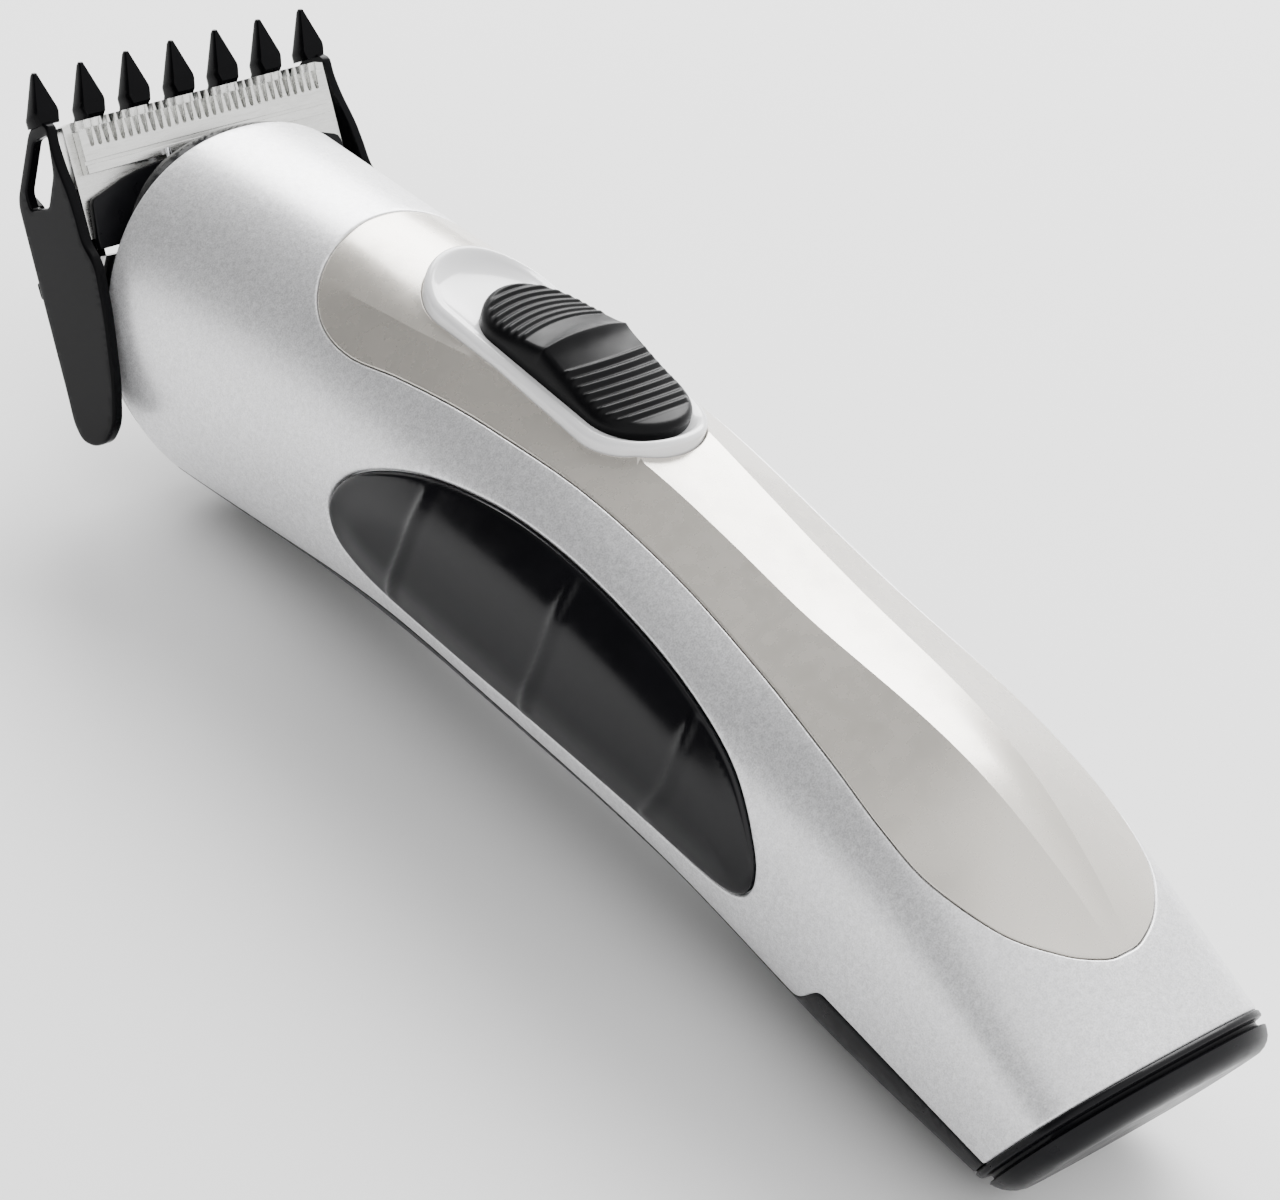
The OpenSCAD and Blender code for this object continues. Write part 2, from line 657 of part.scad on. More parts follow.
module guide_comb() {
    color([0.04, 0.04, 0.05]) {
        for (i = [-2:2])
            side_slab(rib_outline, i * rib_pitch - rib_t / 2, i * rib_pitch + rib_t / 2);
        for (i = [-3:3])
            comb_tooth(i * rib_pitch, abs(i) < 3);
        for (side = [-1, 1]) {
            a = side > 0 ? cheek_in : -cheek_out;
            multmatrix([[1, -side * cheek_spread, 0, side * cheek_spread * cheek_y], [0, 1, 0, 0], [0, 0, 1, 0]])
                difference() {
                    side_slab(cheek_outline, a, a + cheek_out - cheek_in);
                    side_slab(window_outline, a - 1, a + 3);
                }
            b = side > 0 ? comb_half - rib_t / 2 : -foot_out;
            side_slab([[177.6, 31.5], [177.7, 30.1], [167.5, 17], [165.5, 18.6], [174, 29.5], [174.6, 31]],
                b, b + foot_out - comb_half + rib_t / 2);
        }
        side_slab([[167.1, 14.8], [165.6, 12.9], [163, 14.6], [164.5, 16.7]], -2 * rib_pitch, 2 * rib_pitch);
        side_slab([[171, 20], [172.4, 21.7], [170.2, 23.4], [168.9, 21.7]], -foot_out, foot_out);
    }
}

placed() upper_casing();
placed() lower_casing();
placed() top_panel();
placed() switch_bezel();
placed() left_grip();
placed() right_grip();
placed() tail_cap();
placed() charge_contacts();
placed() head_collar();
placed() head_bulkhead();
placed() chassis();
placed() battery_cells();
placed() battery_straps();
placed() motor_can();
placed() motor_end_bell();
placed() motor_bush();
placed() circuit_board();
placed() board_parts();
placed() power_switch();
placed() casing_screws();
placed() switch_button();
placed() switch_knob();
placed() motor_shaft();
placed() eccentric_cam();
placed() blade_holder();
placed() fixed_blade();
placed() blade_screws();
placed() cutter_spring();
placed() moving_blade();
placed() drive_yoke();
placed() guide_comb();
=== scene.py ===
"""Looks of the hair clipper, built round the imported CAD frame. Shapes are worked out in millimetres, with Y measured
from the tail station of the casing, and put_in_frame() turns them into metres in the CAD frame."""
import json
import math

import bmesh
import bpy
import numpy as np
from mathutils import Matrix, Vector
from mathutils.geometry import delaunay_2d_cdt


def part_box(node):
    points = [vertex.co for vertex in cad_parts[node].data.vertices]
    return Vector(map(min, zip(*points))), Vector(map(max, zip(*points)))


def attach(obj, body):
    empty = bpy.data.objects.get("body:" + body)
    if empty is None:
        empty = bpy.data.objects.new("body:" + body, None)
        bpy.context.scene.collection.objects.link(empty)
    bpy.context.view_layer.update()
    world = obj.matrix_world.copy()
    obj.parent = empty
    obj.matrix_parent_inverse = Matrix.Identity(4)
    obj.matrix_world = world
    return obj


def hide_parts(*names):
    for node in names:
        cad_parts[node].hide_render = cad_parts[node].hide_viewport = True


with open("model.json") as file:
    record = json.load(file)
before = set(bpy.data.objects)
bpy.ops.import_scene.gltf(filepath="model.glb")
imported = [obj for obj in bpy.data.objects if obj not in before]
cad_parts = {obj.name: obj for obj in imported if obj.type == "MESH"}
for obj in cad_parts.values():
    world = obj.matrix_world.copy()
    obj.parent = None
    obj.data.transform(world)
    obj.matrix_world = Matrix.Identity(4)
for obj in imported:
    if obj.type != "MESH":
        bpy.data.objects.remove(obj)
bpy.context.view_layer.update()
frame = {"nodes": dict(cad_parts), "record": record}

MM = 0.001
# The motor can ends 137 mm from the tail station, and the board lies 37.4 mm above the casing's own floor
MOTOR_CAN_END = 137
BOARD_Z = 37.4
SHIFT = np.array([0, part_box("motor_can")[1].y / MM - MOTOR_CAN_END,
                  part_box("circuit_board")[0].z / MM - BOARD_Z])


def put_in_frame(points):
    return (np.asarray(points, float) + SHIFT) * MM


# ---- Materials ----

def material(name, colour, roughness, metallic=0.0, coat=0.0, coat_roughness=0.1, specular=0.5):
    mat = bpy.data.materials.new(name)
    mat.use_nodes = True
    shader = mat.node_tree.nodes["Principled BSDF"]
    shader.inputs["Base Color"].default_value = (*colour, 1)
    shader.inputs["Roughness"].default_value = roughness
    shader.inputs["Metallic"].default_value = metallic
    shader.inputs["Coat Weight"].default_value = coat
    shader.inputs["Coat Roughness"].default_value = coat_roughness
    shader.inputs["Specular IOR Level"].default_value = specular
    return mat, mat.node_tree, shader


def noise(tree, scale, detail=3, stretch=(1, 1, 1)):
    """Noise in object space, finer along the axes with a large stretch."""
    coords = tree.nodes.new("ShaderNodeTexCoord")
    mapping = tree.nodes.new("ShaderNodeMapping")
    mapping.inputs["Scale"].default_value = stretch
    texture = tree.nodes.new("ShaderNodeTexNoise")
    texture.inputs["Scale"].default_value = scale
    texture.inputs["Detail"].default_value = detail
    tree.links.new(coords.outputs["Object"], mapping.inputs["Vector"])
    tree.links.new(mapping.outputs["Vector"], texture.inputs["Vector"])
    return texture.outputs["Fac"]


def ramp(tree, fac, low, high, low_at=0.3, high_at=0.7):
    node = tree.nodes.new("ShaderNodeValToRGB")
    node.color_ramp.elements[0].position = low_at
    node.color_ramp.elements[1].position = high_at
    node.color_ramp.elements[0].color = (*low, 1)
    node.color_ramp.elements[1].color = (*high, 1)
    tree.links.new(fac, node.inputs["Fac"])
    return node.outputs["Color"]


def grey(value):
    return (value, value, value)


def bump(tree, shader, height, strength, distance):
    node = tree.nodes.new("ShaderNodeBump")
    node.inputs["Strength"].default_value = strength
    node.inputs["Distance"].default_value = distance
    tree.links.new(height, node.inputs["Height"])
    tree.links.new(node.outputs["Normal"], shader.inputs["Normal"])


def shaded(colour, amount):
    return tuple(min(1, c * amount) for c in colour)


def grained(name, colour, roughness, grain=9000, strength=0.15, vary=0.12, rough_vary=0.06, **more):
    """Moulded plastic or rubber: slightly uneven colour and gloss, and a fine moulded grain."""
    mat, tree, shader = material(name, colour, roughness, **more)
    broad = noise(tree, 90, 4)
    tree.links.new(ramp(tree, broad, shaded(colour, 1 - vary), shaded(colour, 1 + vary)),
                   shader.inputs["Base Color"])
    tree.links.new(ramp(tree, noise(tree, 400, 5), grey(roughness - rough_vary), grey(roughness + rough_vary)),
                   shader.inputs["Roughness"])
    bump(tree, shader, noise(tree, grain, 2), strength, 0.00003)
    return mat


def ground_metal(name, colour, roughness, stretch, scale=500, strength=0.2, vary=0.12):
    """Ground or brushed metal, with its lines across the stretched axis."""
    mat, tree, shader = material(name, colour, roughness, metallic=1.0)
    lines = noise(tree, scale, 6, stretch)
    tree.links.new(ramp(tree, lines, shaded(colour, 1 - vary), shaded(colour, 1 + vary)),
                   shader.inputs["Base Color"])
    tree.links.new(ramp(tree, lines, grey(roughness * 0.8), grey(roughness * 1.3)), shader.inputs["Roughness"])
    bump(tree, shader, lines, strength, 0.00002)
    return mat


def silver_paint():
    """Metallic paint: fine bright flakes, and a softer mottle under them, over a satin ground."""
    colour = (0.80, 0.80, 0.815)
    mottle_share = 0.35
    mat, tree, shader = material("silver_paint", colour, 0.36, metallic=0.55, coat=0.25,
                                 coat_roughness=0.22)
    flakes = noise(tree, 5200, 2)
    soft = noise(tree, 1500, 2)
    mix = tree.nodes.new("ShaderNodeMix")
    mix.data_type = "FLOAT"
    mix.inputs[0].default_value = mottle_share
    tree.links.new(flakes, mix.inputs[2])
    tree.links.new(soft, mix.inputs[3])
    tree.links.new(ramp(tree, mix.outputs[0], shaded(colour, 0.80), shaded(colour, 1.2), 0.36, 0.66),
                   shader.inputs["Base Color"])
    tree.links.new(ramp(tree, flakes, grey(0.28), grey(0.46)), shader.inputs["Roughness"])
    bump(tree, shader, mix.outputs[0], 0.22, 0.00005)
    return mat


MATERIALS = {
    "silver_casing": silver_paint(),
    "black_casing": grained("black_casing_plastic", (0.005, 0.005, 0.006), 0.32, strength=0.25,
                            specular=0.12),
    "pearl_panel": grained("pearl_lacquer", (0.65, 0.615, 0.56), 0.27, grain=6000, strength=0.05, vary=0.02,
                           rough_vary=0.03, metallic=0.6, coat=0.4, coat_roughness=0.1),
    "white_bezel": grained("white_gloss_plastic", (0.83, 0.83, 0.84), 0.16, strength=0.04, vary=0.02,
                           rough_vary=0.03, coat=0.3),
    "black_button": grained("button_plastic", (0.003, 0.003, 0.0035), 0.36, strength=0.2,
                            specular=0.09),
    "grip_rubber": grained("grip_gloss_rubber", (0.004, 0.004, 0.005), 0.2, grain=5000, strength=0.06,
                           rough_vary=0.04, specular=0.26),
    "collar_black": grained("collar_gloss_plastic", (0.006, 0.006, 0.007), 0.16, strength=0.05,
                            rough_vary=0.03, specular=0.35),
    "contact_metal": ground_metal("contact_plating", (0.83, 0.66, 0.33), 0.28, (1, 8, 1)),
    "inner_plastic": grained("inner_moulding", (0.03, 0.03, 0.033), 0.5, strength=0.3),
    "natural_plastic": grained("natural_acetal", (0.72, 0.70, 0.64), 0.42, strength=0.15, vary=0.05),
    "battery_wrap": grained("cell_sleeve", (0.05, 0.27, 0.12), 0.22, strength=0.05, vary=0.08),
    "nickel": ground_metal("nickel_strip", (0.62, 0.60, 0.56), 0.3, (8, 1, 1)),
    "motor_steel": ground_metal("zinc_can", (0.56, 0.57, 0.60), 0.32, (1, 12, 1)),
    "bush_bronze": ground_metal("sintered_bronze", (0.55, 0.36, 0.16), 0.45, (1, 1, 1), 1500, 0.4),
    "board_green": grained("solder_resist", (0.02, 0.16, 0.06), 0.28, grain=2500, strength=0.2),
    "board_black": grained("moulded_package", (0.02, 0.02, 0.02), 0.4, strength=0.25),
    "switch_tin": ground_metal("tinned_frame", (0.66, 0.66, 0.65), 0.35, (6, 1, 1)),
    "screw_steel": ground_metal("zinc_screw", (0.60, 0.60, 0.63), 0.28, (1, 1, 1), 900, 0.15),
    "shaft_steel": ground_metal("ground_shaft", (0.68, 0.68, 0.71), 0.16, (1, 14, 1)),
    "blade_steel": ground_metal("ground_blade_steel", (0.70, 0.70, 0.68), 0.27, (1, 12, 1), 420, 0.3,
                                0.1),
    "comb_black": grained("comb_gloss_plastic", (0.0025, 0.0025, 0.003), 0.22, strength=0.08,
                          rough_vary=0.04, specular=0.05),
}


# ---- Building pieces ----

def make_piece(name, points, faces, body, slot, replaces, sharp=50, weighted=True):
    """One closed mesh from points in millimetres, riding on a body and standing for CAD nodes."""
    mesh = bpy.data.meshes.new(name)
    mesh.from_pydata(put_in_frame(points).tolist(), [], [list(map(int, f)) for f in faces])
    mesh.update()
    bm = bmesh.new()
    bm.from_mesh(mesh)
    bmesh.ops.recalc_face_normals(bm, faces=bm.faces)
    bm.to_mesh(mesh)
    bm.free()
    obj = bpy.data.objects.new(name, mesh)
    bpy.context.scene.collection.objects.link(obj)
    mesh.materials.append(MATERIALS[slot])
    mesh.shade_smooth()
    mesh.set_sharp_from_angle(angle=math.radians(sharp))
    if weighted:
        modifier = obj.modifiers.new("normals", "WEIGHTED_NORMAL")
        modifier.mode = "FACE_AREA"
        modifier.keep_sharp = True
    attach(obj, body)
    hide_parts(*replaces)
    return obj


class Shape:
    """Collects closed solids in millimetres, to become one piece."""

    def __init__(self):
        self.points = []
        self.faces = []

    def add(self, points, faces):
        start = len(self.points)
        self.points.extend(np.asarray(points, float).tolist())
        self.faces.extend([[start + i for i in f] for f in faces])

    def loft(self, rows, turn=lambda p: p):
        """A solid through rows of points, one row round each section."""
        m, n = len(rows), len(rows[0])
        points = turn(np.array(rows, float).reshape(-1, 3))
        faces = [[i * n + j, i * n + (j + 1) % n, (i + 1) * n + (j + 1) % n, (i + 1) * n + j]
                 for i in range(m - 1) for j in range(n)]
        self.add(points, faces + [list(range(n))[::-1], [(m - 1) * n + j for j in range(n)]])

    def slab(self, outline, low, high, edge=0.2, axis=0, turn=lambda p: p):
        """A flat plate with rounded edges: the outline extruded along one axis from low to high."""
        outline = np.array(outline, float)
        rows = []
        for inset, at in ((edge, low), (edge * 0.3, low + edge * 0.3), (0, low + edge),
                          (0, high - edge), (edge * 0.3, high - edge * 0.3), (edge, high)):
            row = inset_outline(outline, inset)
            rows.append(np.insert(row, axis, at, axis=1))
        self.loft(rows, turn)

    def piece(self, name, body, slot, **more):
        make_piece(name, self.points, self.faces, body, slot, **more)


def inset_outline(outline, inset):
    """The closed outline moved inwards by inset, corners mitred but never longer than twice the inset."""
    if inset == 0:
        return outline
    ahead = np.roll(outline, -1, axis=0)
    area = np.sum(outline[:, 0] * ahead[:, 1] - ahead[:, 0] * outline[:, 1])
    ahead = ahead - outline
    ahead /= np.linalg.norm(ahead, axis=1)[:, None] + 1e-12
    behind = np.roll(ahead, 1, axis=0)
    side = 1 if area > 0 else -1
    normals = lambda d: np.stack([-d[:, 1], d[:, 0]], 1) * side
    bisector = normals(ahead) + normals(behind)
    length = np.linalg.norm(bisector, axis=1)[:, None] + 1e-9
    bisector /= length
    reach = inset / np.maximum(np.sum(bisector * normals(ahead), axis=1), 0.5)
    return outline + bisector * reach[:, None]


def blend(a, b, c, d, t):
    """Smooth curve from b to c, with a and d as the neighbours on either side."""
    return 0.5 * (2 * b + (c - a) * t + (2 * a - 5 * b + 4 * c - d) * t ** 2 + (3 * b - a - 3 * c + d) * t ** 3)


def smooth_outline(corners, closed=True, spacing=0.35):
    """A smooth curve through the corner points, resampled at even spacing."""
    p = np.array(corners, float)
    if closed:
        a, b, c, d = np.roll(p, 1, 0), p, np.roll(p, -1, 0), np.roll(p, -2, 0)
    else:
        e = np.vstack([2 * p[0] - p[1], p, 2 * p[-1] - p[-2]])
        a, b, c, d = e[:-3], e[1:-2], e[2:-1], e[3:]
    t = np.linspace(0, 1, 40, endpoint=False)[None, :, None]
    a, b, c, d = (q[:, None, :] for q in (a, b, c, d))
    fine = blend(a, b, c, d, t).reshape(-1, 2)
    fine = np.vstack([fine, fine[:1] if closed else p[-1:]])
    run = np.concatenate([[0], np.cumsum(np.linalg.norm(np.diff(fine, axis=0), axis=1))])
    count = max(8, round(run[-1] / spacing))
    at = np.linspace(0, run[-1], count + 1)
    even = np.stack([np.interp(at, run, fine[:, k]) for k in (0, 1)], 1)
    return even[:-1] if closed else even


def circle(x, y, radius, count):
    angles = np.linspace(0, 2 * math.pi, count + 1)[:-1]
    return [(x + radius * math.cos(a), y + radius * math.sin(a)) for a in angles]


def in_outline(points, outline):
    """Which of the points lie inside the closed outline."""
    x, y = points[:, 0][:, None], points[:, 1][:, None]
    x0, y0 = outline[:, 0][None], outline[:, 1][None]
    x1, y1 = np.roll(outline[:, 0], -1)[None], np.roll(outline[:, 1], -1)[None]
    crosses = ((y0 > y) != (y1 > y)) & (x < (x1 - x0) * (y - y0) / (y1 - y0 + 1e-15) + x0)
    return crosses.sum(1) % 2 == 1


# ---- The casing's skin: the same curves as the CAD casing ----

STEP = 30
HALF_WIDTHS = [18.2, 19, 19.4, 19.8, 19.3, 20.5, 24.2]
TOP_HEIGHTS = [24, 37.6, 41.8, 46.2, 47.1, 45.1, 41.5]
BELLY_HEIGHTS = [0, 0.3, 4.1, 4.3, 3.1, 0.3, 0]
WALL = 1.8
TAIL_Y = 4.5
TAIL_TILT = math.radians(27)
RIM_Y = 158.6
RIM_TILT = math.radians(15.4)
RIM_SWEEP = 0.0135
# Millimetres of the flat working plane for one radian round the section
GIRTH = 21.0


def spline(values, y):
    """Smooth curve through one value per station, at place y."""
    v = np.array(values, float)
    v = np.concatenate([[2 * v[0] - v[1]], v, [2 * v[-1] - v[-2]]])
    u = np.asarray(y, float) / STEP
    i = np.clip(np.floor(u), 0, len(values) - 2).astype(int)
    t = u - i
    return blend(v[i], v[i + 1], v[i + 2], v[i + 3], t)


def smooth_step(t):
    t = np.clip(t, 0, 1)
    return t * t * (3 - 2 * t)


def squareness(y):
    return 2.65 - 0.5 * np.clip(np.asarray(y, float) / 100, 0, 1)


def mid_z(y):
    return (spline(TOP_HEIGHTS, y) + spline(BELLY_HEIGHTS, y)) / 2


def skin(y, turn):
    """Point of the skin at place y, in the direction turn (radians from +X) round the section."""
    y, turn = np.broadcast_arrays(np.asarray(y, float), np.asarray(turn, float))
    w = spline(HALF_WIDTHS, y)
    h = (spline(TOP_HEIGHTS, y) - spline(BELLY_HEIGHTS, y)) / 2
    n = squareness(y)
    r = (np.abs(np.cos(turn) / w) ** n + np.abs(np.sin(turn) / h) ** n) ** (-1 / n)
    return np.stack([r * np.cos(turn), y, mid_z(y) + r * np.sin(turn)], -1)


def skin_normal(y, turn):
    e = 0.02
    along = skin(y + e, turn) - skin(y - e, turn)
    across = skin(y, turn + e / GIRTH) - skin(y, turn - e / GIRTH)
    normal = np.cross(along, across)
    return normal / np.linalg.norm(normal, axis=-1, keepdims=True)


def on_skin(flat, height=0.0):
    """Points (y, girth) of the working plane on the skin, height above it."""
    y, turn = flat[:, 0], flat[:, 1] / GIRTH
    return skin(y, turn) + skin_normal(y, turn) * np.broadcast_to(height, y.shape)[:, None]


def turn_at(y, x, top=True):
    """Direction round the section of the skin's point at x, on its upper or lower half."""
    y, x = np.asarray(y, float), np.asarray(x, float)
    w = spline(HALF_WIDTHS, y)
    h = (spline(TOP_HEIGHTS, y) - spline(BELLY_HEIGHTS, y)) / 2
    n = squareness(y)
    z = h * np.clip(1 - np.abs(x / w) ** n, 0, 1) ** (1 / n)
    return np.arctan2(z if top else -z, x)


def corner_turn(y, degrees):
    """Direction round the section of the CAD casing's own section angle."""
    y, a = np.asarray(y, float), np.radians(np.asarray(degrees, float))
    p = 2 / squareness(y)
    w = spline(HALF_WIDTHS, y)
    h = (spline(TOP_HEIGHTS, y) - spline(BELLY_HEIGHTS, y)) / 2
    x = w * np.sign(np.cos(a)) * np.abs(np.cos(a)) ** p
    z = h * np.sign(np.sin(a)) * np.abs(np.sin(a)) ** p
    turn = np.arctan2(z, x)
    return turn + 2 * math.pi * np.round((a - turn) / (2 * math.pi))


def parting(y):
    y = np.asarray(y, float)
    return 16 + 21 * smooth_step((y - 32) / 6) + 10 * smooth_step((y - 105) / 30)


def cut_place(z, station, slope, middle):
    """Place along Y of an end cut at height z: it leans, and the rim also sweeps back below its middle."""
    away = z - mid_z(middle)
    return station + math.tan(slope) * away - (RIM_SWEEP * np.minimum(0, away) ** 2 if slope > 0 else 0)


def end_cut(turn, station, slope):
    """Place along Y where the skin meets the leaning cut through the station."""
    y = np.full_like(np.asarray(turn, float), float(station))
    for _ in range(12):
        y = cut_place(skin(y, turn)[..., 2], station, slope, station)
    return y


def casing_border(first, last, spacing=0.5):
    """Border of a casing shell on the working plane, between two lines along the casing, from end to end."""
    ys = np.linspace(-15, 172, 1400)
    corners = []
    for degrees_at in (first, last):
        turns = corner_turn(ys, degrees_at(ys))
        tail = end_cut(turns, TAIL_Y, -TAIL_TILT)
        rim = end_cut(turns, RIM_Y, RIM_TILT)
        keep = (ys > tail) & (ys < rim)
        y0, y1 = ys[keep][0], ys[keep][-1]
        at = np.linspace(y0, y1, round((y1 - y0) / spacing))
        corners.append(np.stack([at, np.interp(at, ys, turns) * GIRTH], 1))
    one, two = corners
    ends = []
    for station, slope, a, b in ((RIM_Y, RIM_TILT, one[-1], two[-1]), (TAIL_Y, -TAIL_TILT, two[0], one[0])):
        turns = np.linspace(a[1], b[1], max(4, round(abs(b[1] - a[1]) / spacing)) + 1)[1:-1] / GIRTH
        ends.append(np.stack([end_cut(turns, station, slope), turns * GIRTH], 1))
    return np.vstack([one, ends[0], two[::-1], ends[1]])


# Steps of a rounded edge: how far in from the edge, and how far below the surface, as shares of its radius
ROUND_EDGE = ((0.0, 1.0), (0.08, 0.62), (0.3, 0.29), (0.6, 0.08), (1.0, 0.0))


def round_edge(outline, radius, inside=True, lower=0.0):
    """Loops that round the edge of a region: its own outline first, then steps towards the flat."""
    side = 1 if inside else -1
    return [(inset_outline(outline, side * radius * s), -radius * drop + lower) for s, drop in ROUND_EDGE]


def triangulate(loops, lines, spacing, keep, clear=0.42):
    """Triangles over a region of the working plane. loops are (closed points, value), lines are (open points,
    value), keep tests which places belong to it. Grid points get the value None, and stay clear of the given ones.
    Returns points, triangles, values."""
    points, edges, values = [], [], []
    for group, closed in ((loops, True), (lines, False)):
        for path, value in group:
            start, n = len(points), len(path)
            points.extend(path.tolist())
            values.extend([value] * n)
            edges.extend([(start + i, start + (i + 1) % n) for i in range(n if closed else n - 1)])
    fixed = np.array(points)
    low, high = fixed.min(0), fixed.max(0)
    rows = np.arange(low[1], high[1], spacing * 0.87)
    grid = np.array([(x + (spacing / 2 if k % 2 else 0), y)
                     for k, y in enumerate(rows) for x in np.arange(low[0], high[0], spacing)])
    cells = {}
    for p in fixed:
        cells.setdefault((math.floor(p[0] / clear), math.floor(p[1] / clear)), []).append(p)
    near = lambda g: any(
        (q[0] - g[0]) ** 2 + (q[1] - g[1]) ** 2 < clear * clear
        for i in (-1, 0, 1) for j in (-1, 0, 1)
        for q in cells.get((math.floor(g[0] / clear) + i, math.floor(g[1] / clear) + j), ()))
    free = np.array([g for g in grid[keep(grid)] if not near(g)])
    everything = [Vector(p) for p in points] + [Vector(g) for g in free.tolist()]
    values += [None] * len(free)
    made, _, faces, origin, _, _ = delaunay_2d_cdt(everything, edges, [], 0, 1e-7)
    flat = np.array([(v.x, v.y) for v in made])
    values = [values[o[0]] if o else None for o in origin]
    faces = np.array(faces)
    middle = flat[faces].mean(1)
    faces = faces[keep(middle)]
    used = np.unique(faces)
    renumber = np.full(len(flat), -1)
    renumber[used] = np.arange(len(used))
    return flat[used], renumber[faces], [values[i] for i in used]


def thick_sheet(outer, inner, faces):
    """Closed solid between two sheets with the same triangles."""
    n = len(outer)
    seen = dict.fromkeys((f[k], f[(k + 1) % 3]) for f in faces for k in range(3))
    walls = [[b, a, a + n, b + n] for a, b in seen if (b, a) not in seen]
    closed = [list(f) for f in faces] + [[f[0] + n, f[2] + n, f[1] + n] for f in faces] + walls
    return np.vstack([outer, inner]), closed


# ---- Outlines on the skin ----

# The panel's edge and crease as (y, half width); the grip's edge and ribs as (y, the section's own angle)
PANEL_SIDE = [(137.6, 0), (137.2, 4.2), (135.6, 9.4), (132.9, 13.0), (128.9, 15.0), (123.2, 15.5), (115.8, 14.6),
              (106, 13.6), (96.5, 12.9), (87, 12.2), (77, 11.8), (67, 11.8), (56, 12.5), (43.5, 13.9),
              (33.6, 14.8), (25.5, 14.5), (17.3, 11.9), (12.3, 7.6), (9.9, 3.2), (9.5, 0)]
CREASE_SIDE = [(134.6, 12.1), (117.5, 10.6), (100, 7.6), (84.6, 5.6), (70, 4.8), (54.4, 4.4), (28.2, 3.0),
               (10.3, 1.3)]
GRIP_EDGE = [(118.4, 188), (116.6, 176), (111, 165), (103, 155.5), (91, 148), (77, 146), (63, 149.5), (52, 160),
             (46, 176), (45, 186), (49, 195), (62.6, 200), (81, 203.5), (105, 206), (115, 200)]
GRIP_RIBS = [((103.6, 157), (104, 180), (106.4, 203)), ((80.4, 150), (80, 176), (82.2, 202)),
             ((59, 154), (58.6, 178), (61.8, 199))]
SWITCH_Y = 104.75
SWITCH_Z = 48.1
SWITCH_SLOPE = math.radians(2)
BEZEL_LENGTH = 41.5
BEZEL_WIDTH = 17.2
# How far the ends of the switch's ring drop to follow the round of the back
BEZEL_DROP = 1.75
# Depth below the skin of the floor under the panel and the grips
FLOOR_DEPTH = 1.15


def panel_outline():
    mirrored = [(y, -x) for y, x in PANEL_SIDE[-2:0:-1]]
    curve = smooth_outline(PANEL_SIDE + mirrored)
    return np.stack([curve[:, 0], turn_at(curve[:, 0], curve[:, 1]) * GIRTH], 1)


def panel_half(y):
    side = smooth_outline(PANEL_SIDE, closed=False, spacing=0.2)
    return np.interp(y, side[::-1, 0], side[::-1, 1])


def crease_half(y):
    side = smooth_outline(CREASE_SIDE, closed=False, spacing=0.5)
    return np.interp(y, side[::-1, 0], side[::-1, 1])


def racetrack(length, width, spacing=0.4):
    """Closed outline (y, x) of a strip with round ends, and the same number of points whatever its size."""
    radius, straight = BEZEL_WIDTH / 2, BEZEL_LENGTH - BEZEL_WIDTH
    arc = round(math.pi * radius / spacing)
    run = round(straight / spacing)
    r, s = width / 2, (length - width) / 2
    points = [(s + r * math.sin(math.pi * k / arc), r * math.cos(math.pi * k / arc)) for k in range(arc)]
    points += [(s - 2 * s * k / run, -r) for k in range(run)]
    points += [(-s - r * math.sin(math.pi * k / arc), -r * math.cos(math.pi * k / arc)) for k in range(arc)]
    points += [(-s + 2 * s * k / run, r) for k in range(run)]
    return np.array(points)


def bezel_outline(grow):
    loop = racetrack(BEZEL_LENGTH + 2 * grow, BEZEL_WIDTH + 2 * grow)
    y = SWITCH_Y + loop[:, 0] * math.cos(SWITCH_SLOPE)
    return np.stack([y, turn_at(y, loop[:, 1]) * GIRTH], 1)


def grip_line(corners, side, **more):
    """Smooth line through (y, section angle) corners on the left or right of the casing."""
    flat = np.array([(y, float(corner_turn(y, a)) * GIRTH) for y, a in corners])
    if side > 0:
        flat[:, 1] = math.pi * GIRTH - flat[:, 1]
    return smooth_outline(flat, **more)


# ---- Casings ----

def upper_shell():
    """Silver casing: pockets for the panel and the grips, a hole for the bezel, rounded edges all round."""
    border = casing_border(lambda y: -parting(y), lambda y: 180 + parting(y))
    hole = bezel_outline(0.15)
    loops = round_edge(border, 0.35)
    pockets = []
    for outline, gap, radius in ((panel_outline(), 0.12, 0.28), (grip_line(GRIP_EDGE, -1), 0.16, 0.45),
                                 (grip_line(GRIP_EDGE, 1), 0.16, 0.45)):
        edge = inset_outline(outline, -gap)
        pockets.append(edge)
        loops += round_edge(edge, radius, inside=False)
        loops.append((inset_outline(outline, -gap + 0.04), -FLOOR_DEPTH))
    loops.append((hole, -FLOOR_DEPTH))

    def keep(p):
        return in_outline(p, border) & ~in_outline(p, hole)
    flat, faces, values = triangulate(loops, [], 1.15, keep)
    in_pocket = np.zeros(len(flat), bool)
    for edge in pockets:
        in_pocket |= in_outline(flat, edge)
    height = np.array([(-FLOOR_DEPTH if deep else 0.0) if v is None else v
                       for v, deep in zip(values, in_pocket)])
    outer = on_skin(flat, height)
    inner = on_skin(flat, np.full(len(flat), -WALL))
    points, closed = thick_sheet(outer, inner, faces)
    make_piece("silver_shell", points, closed, "housing", "silver_casing", replaces=["upper_casing"])


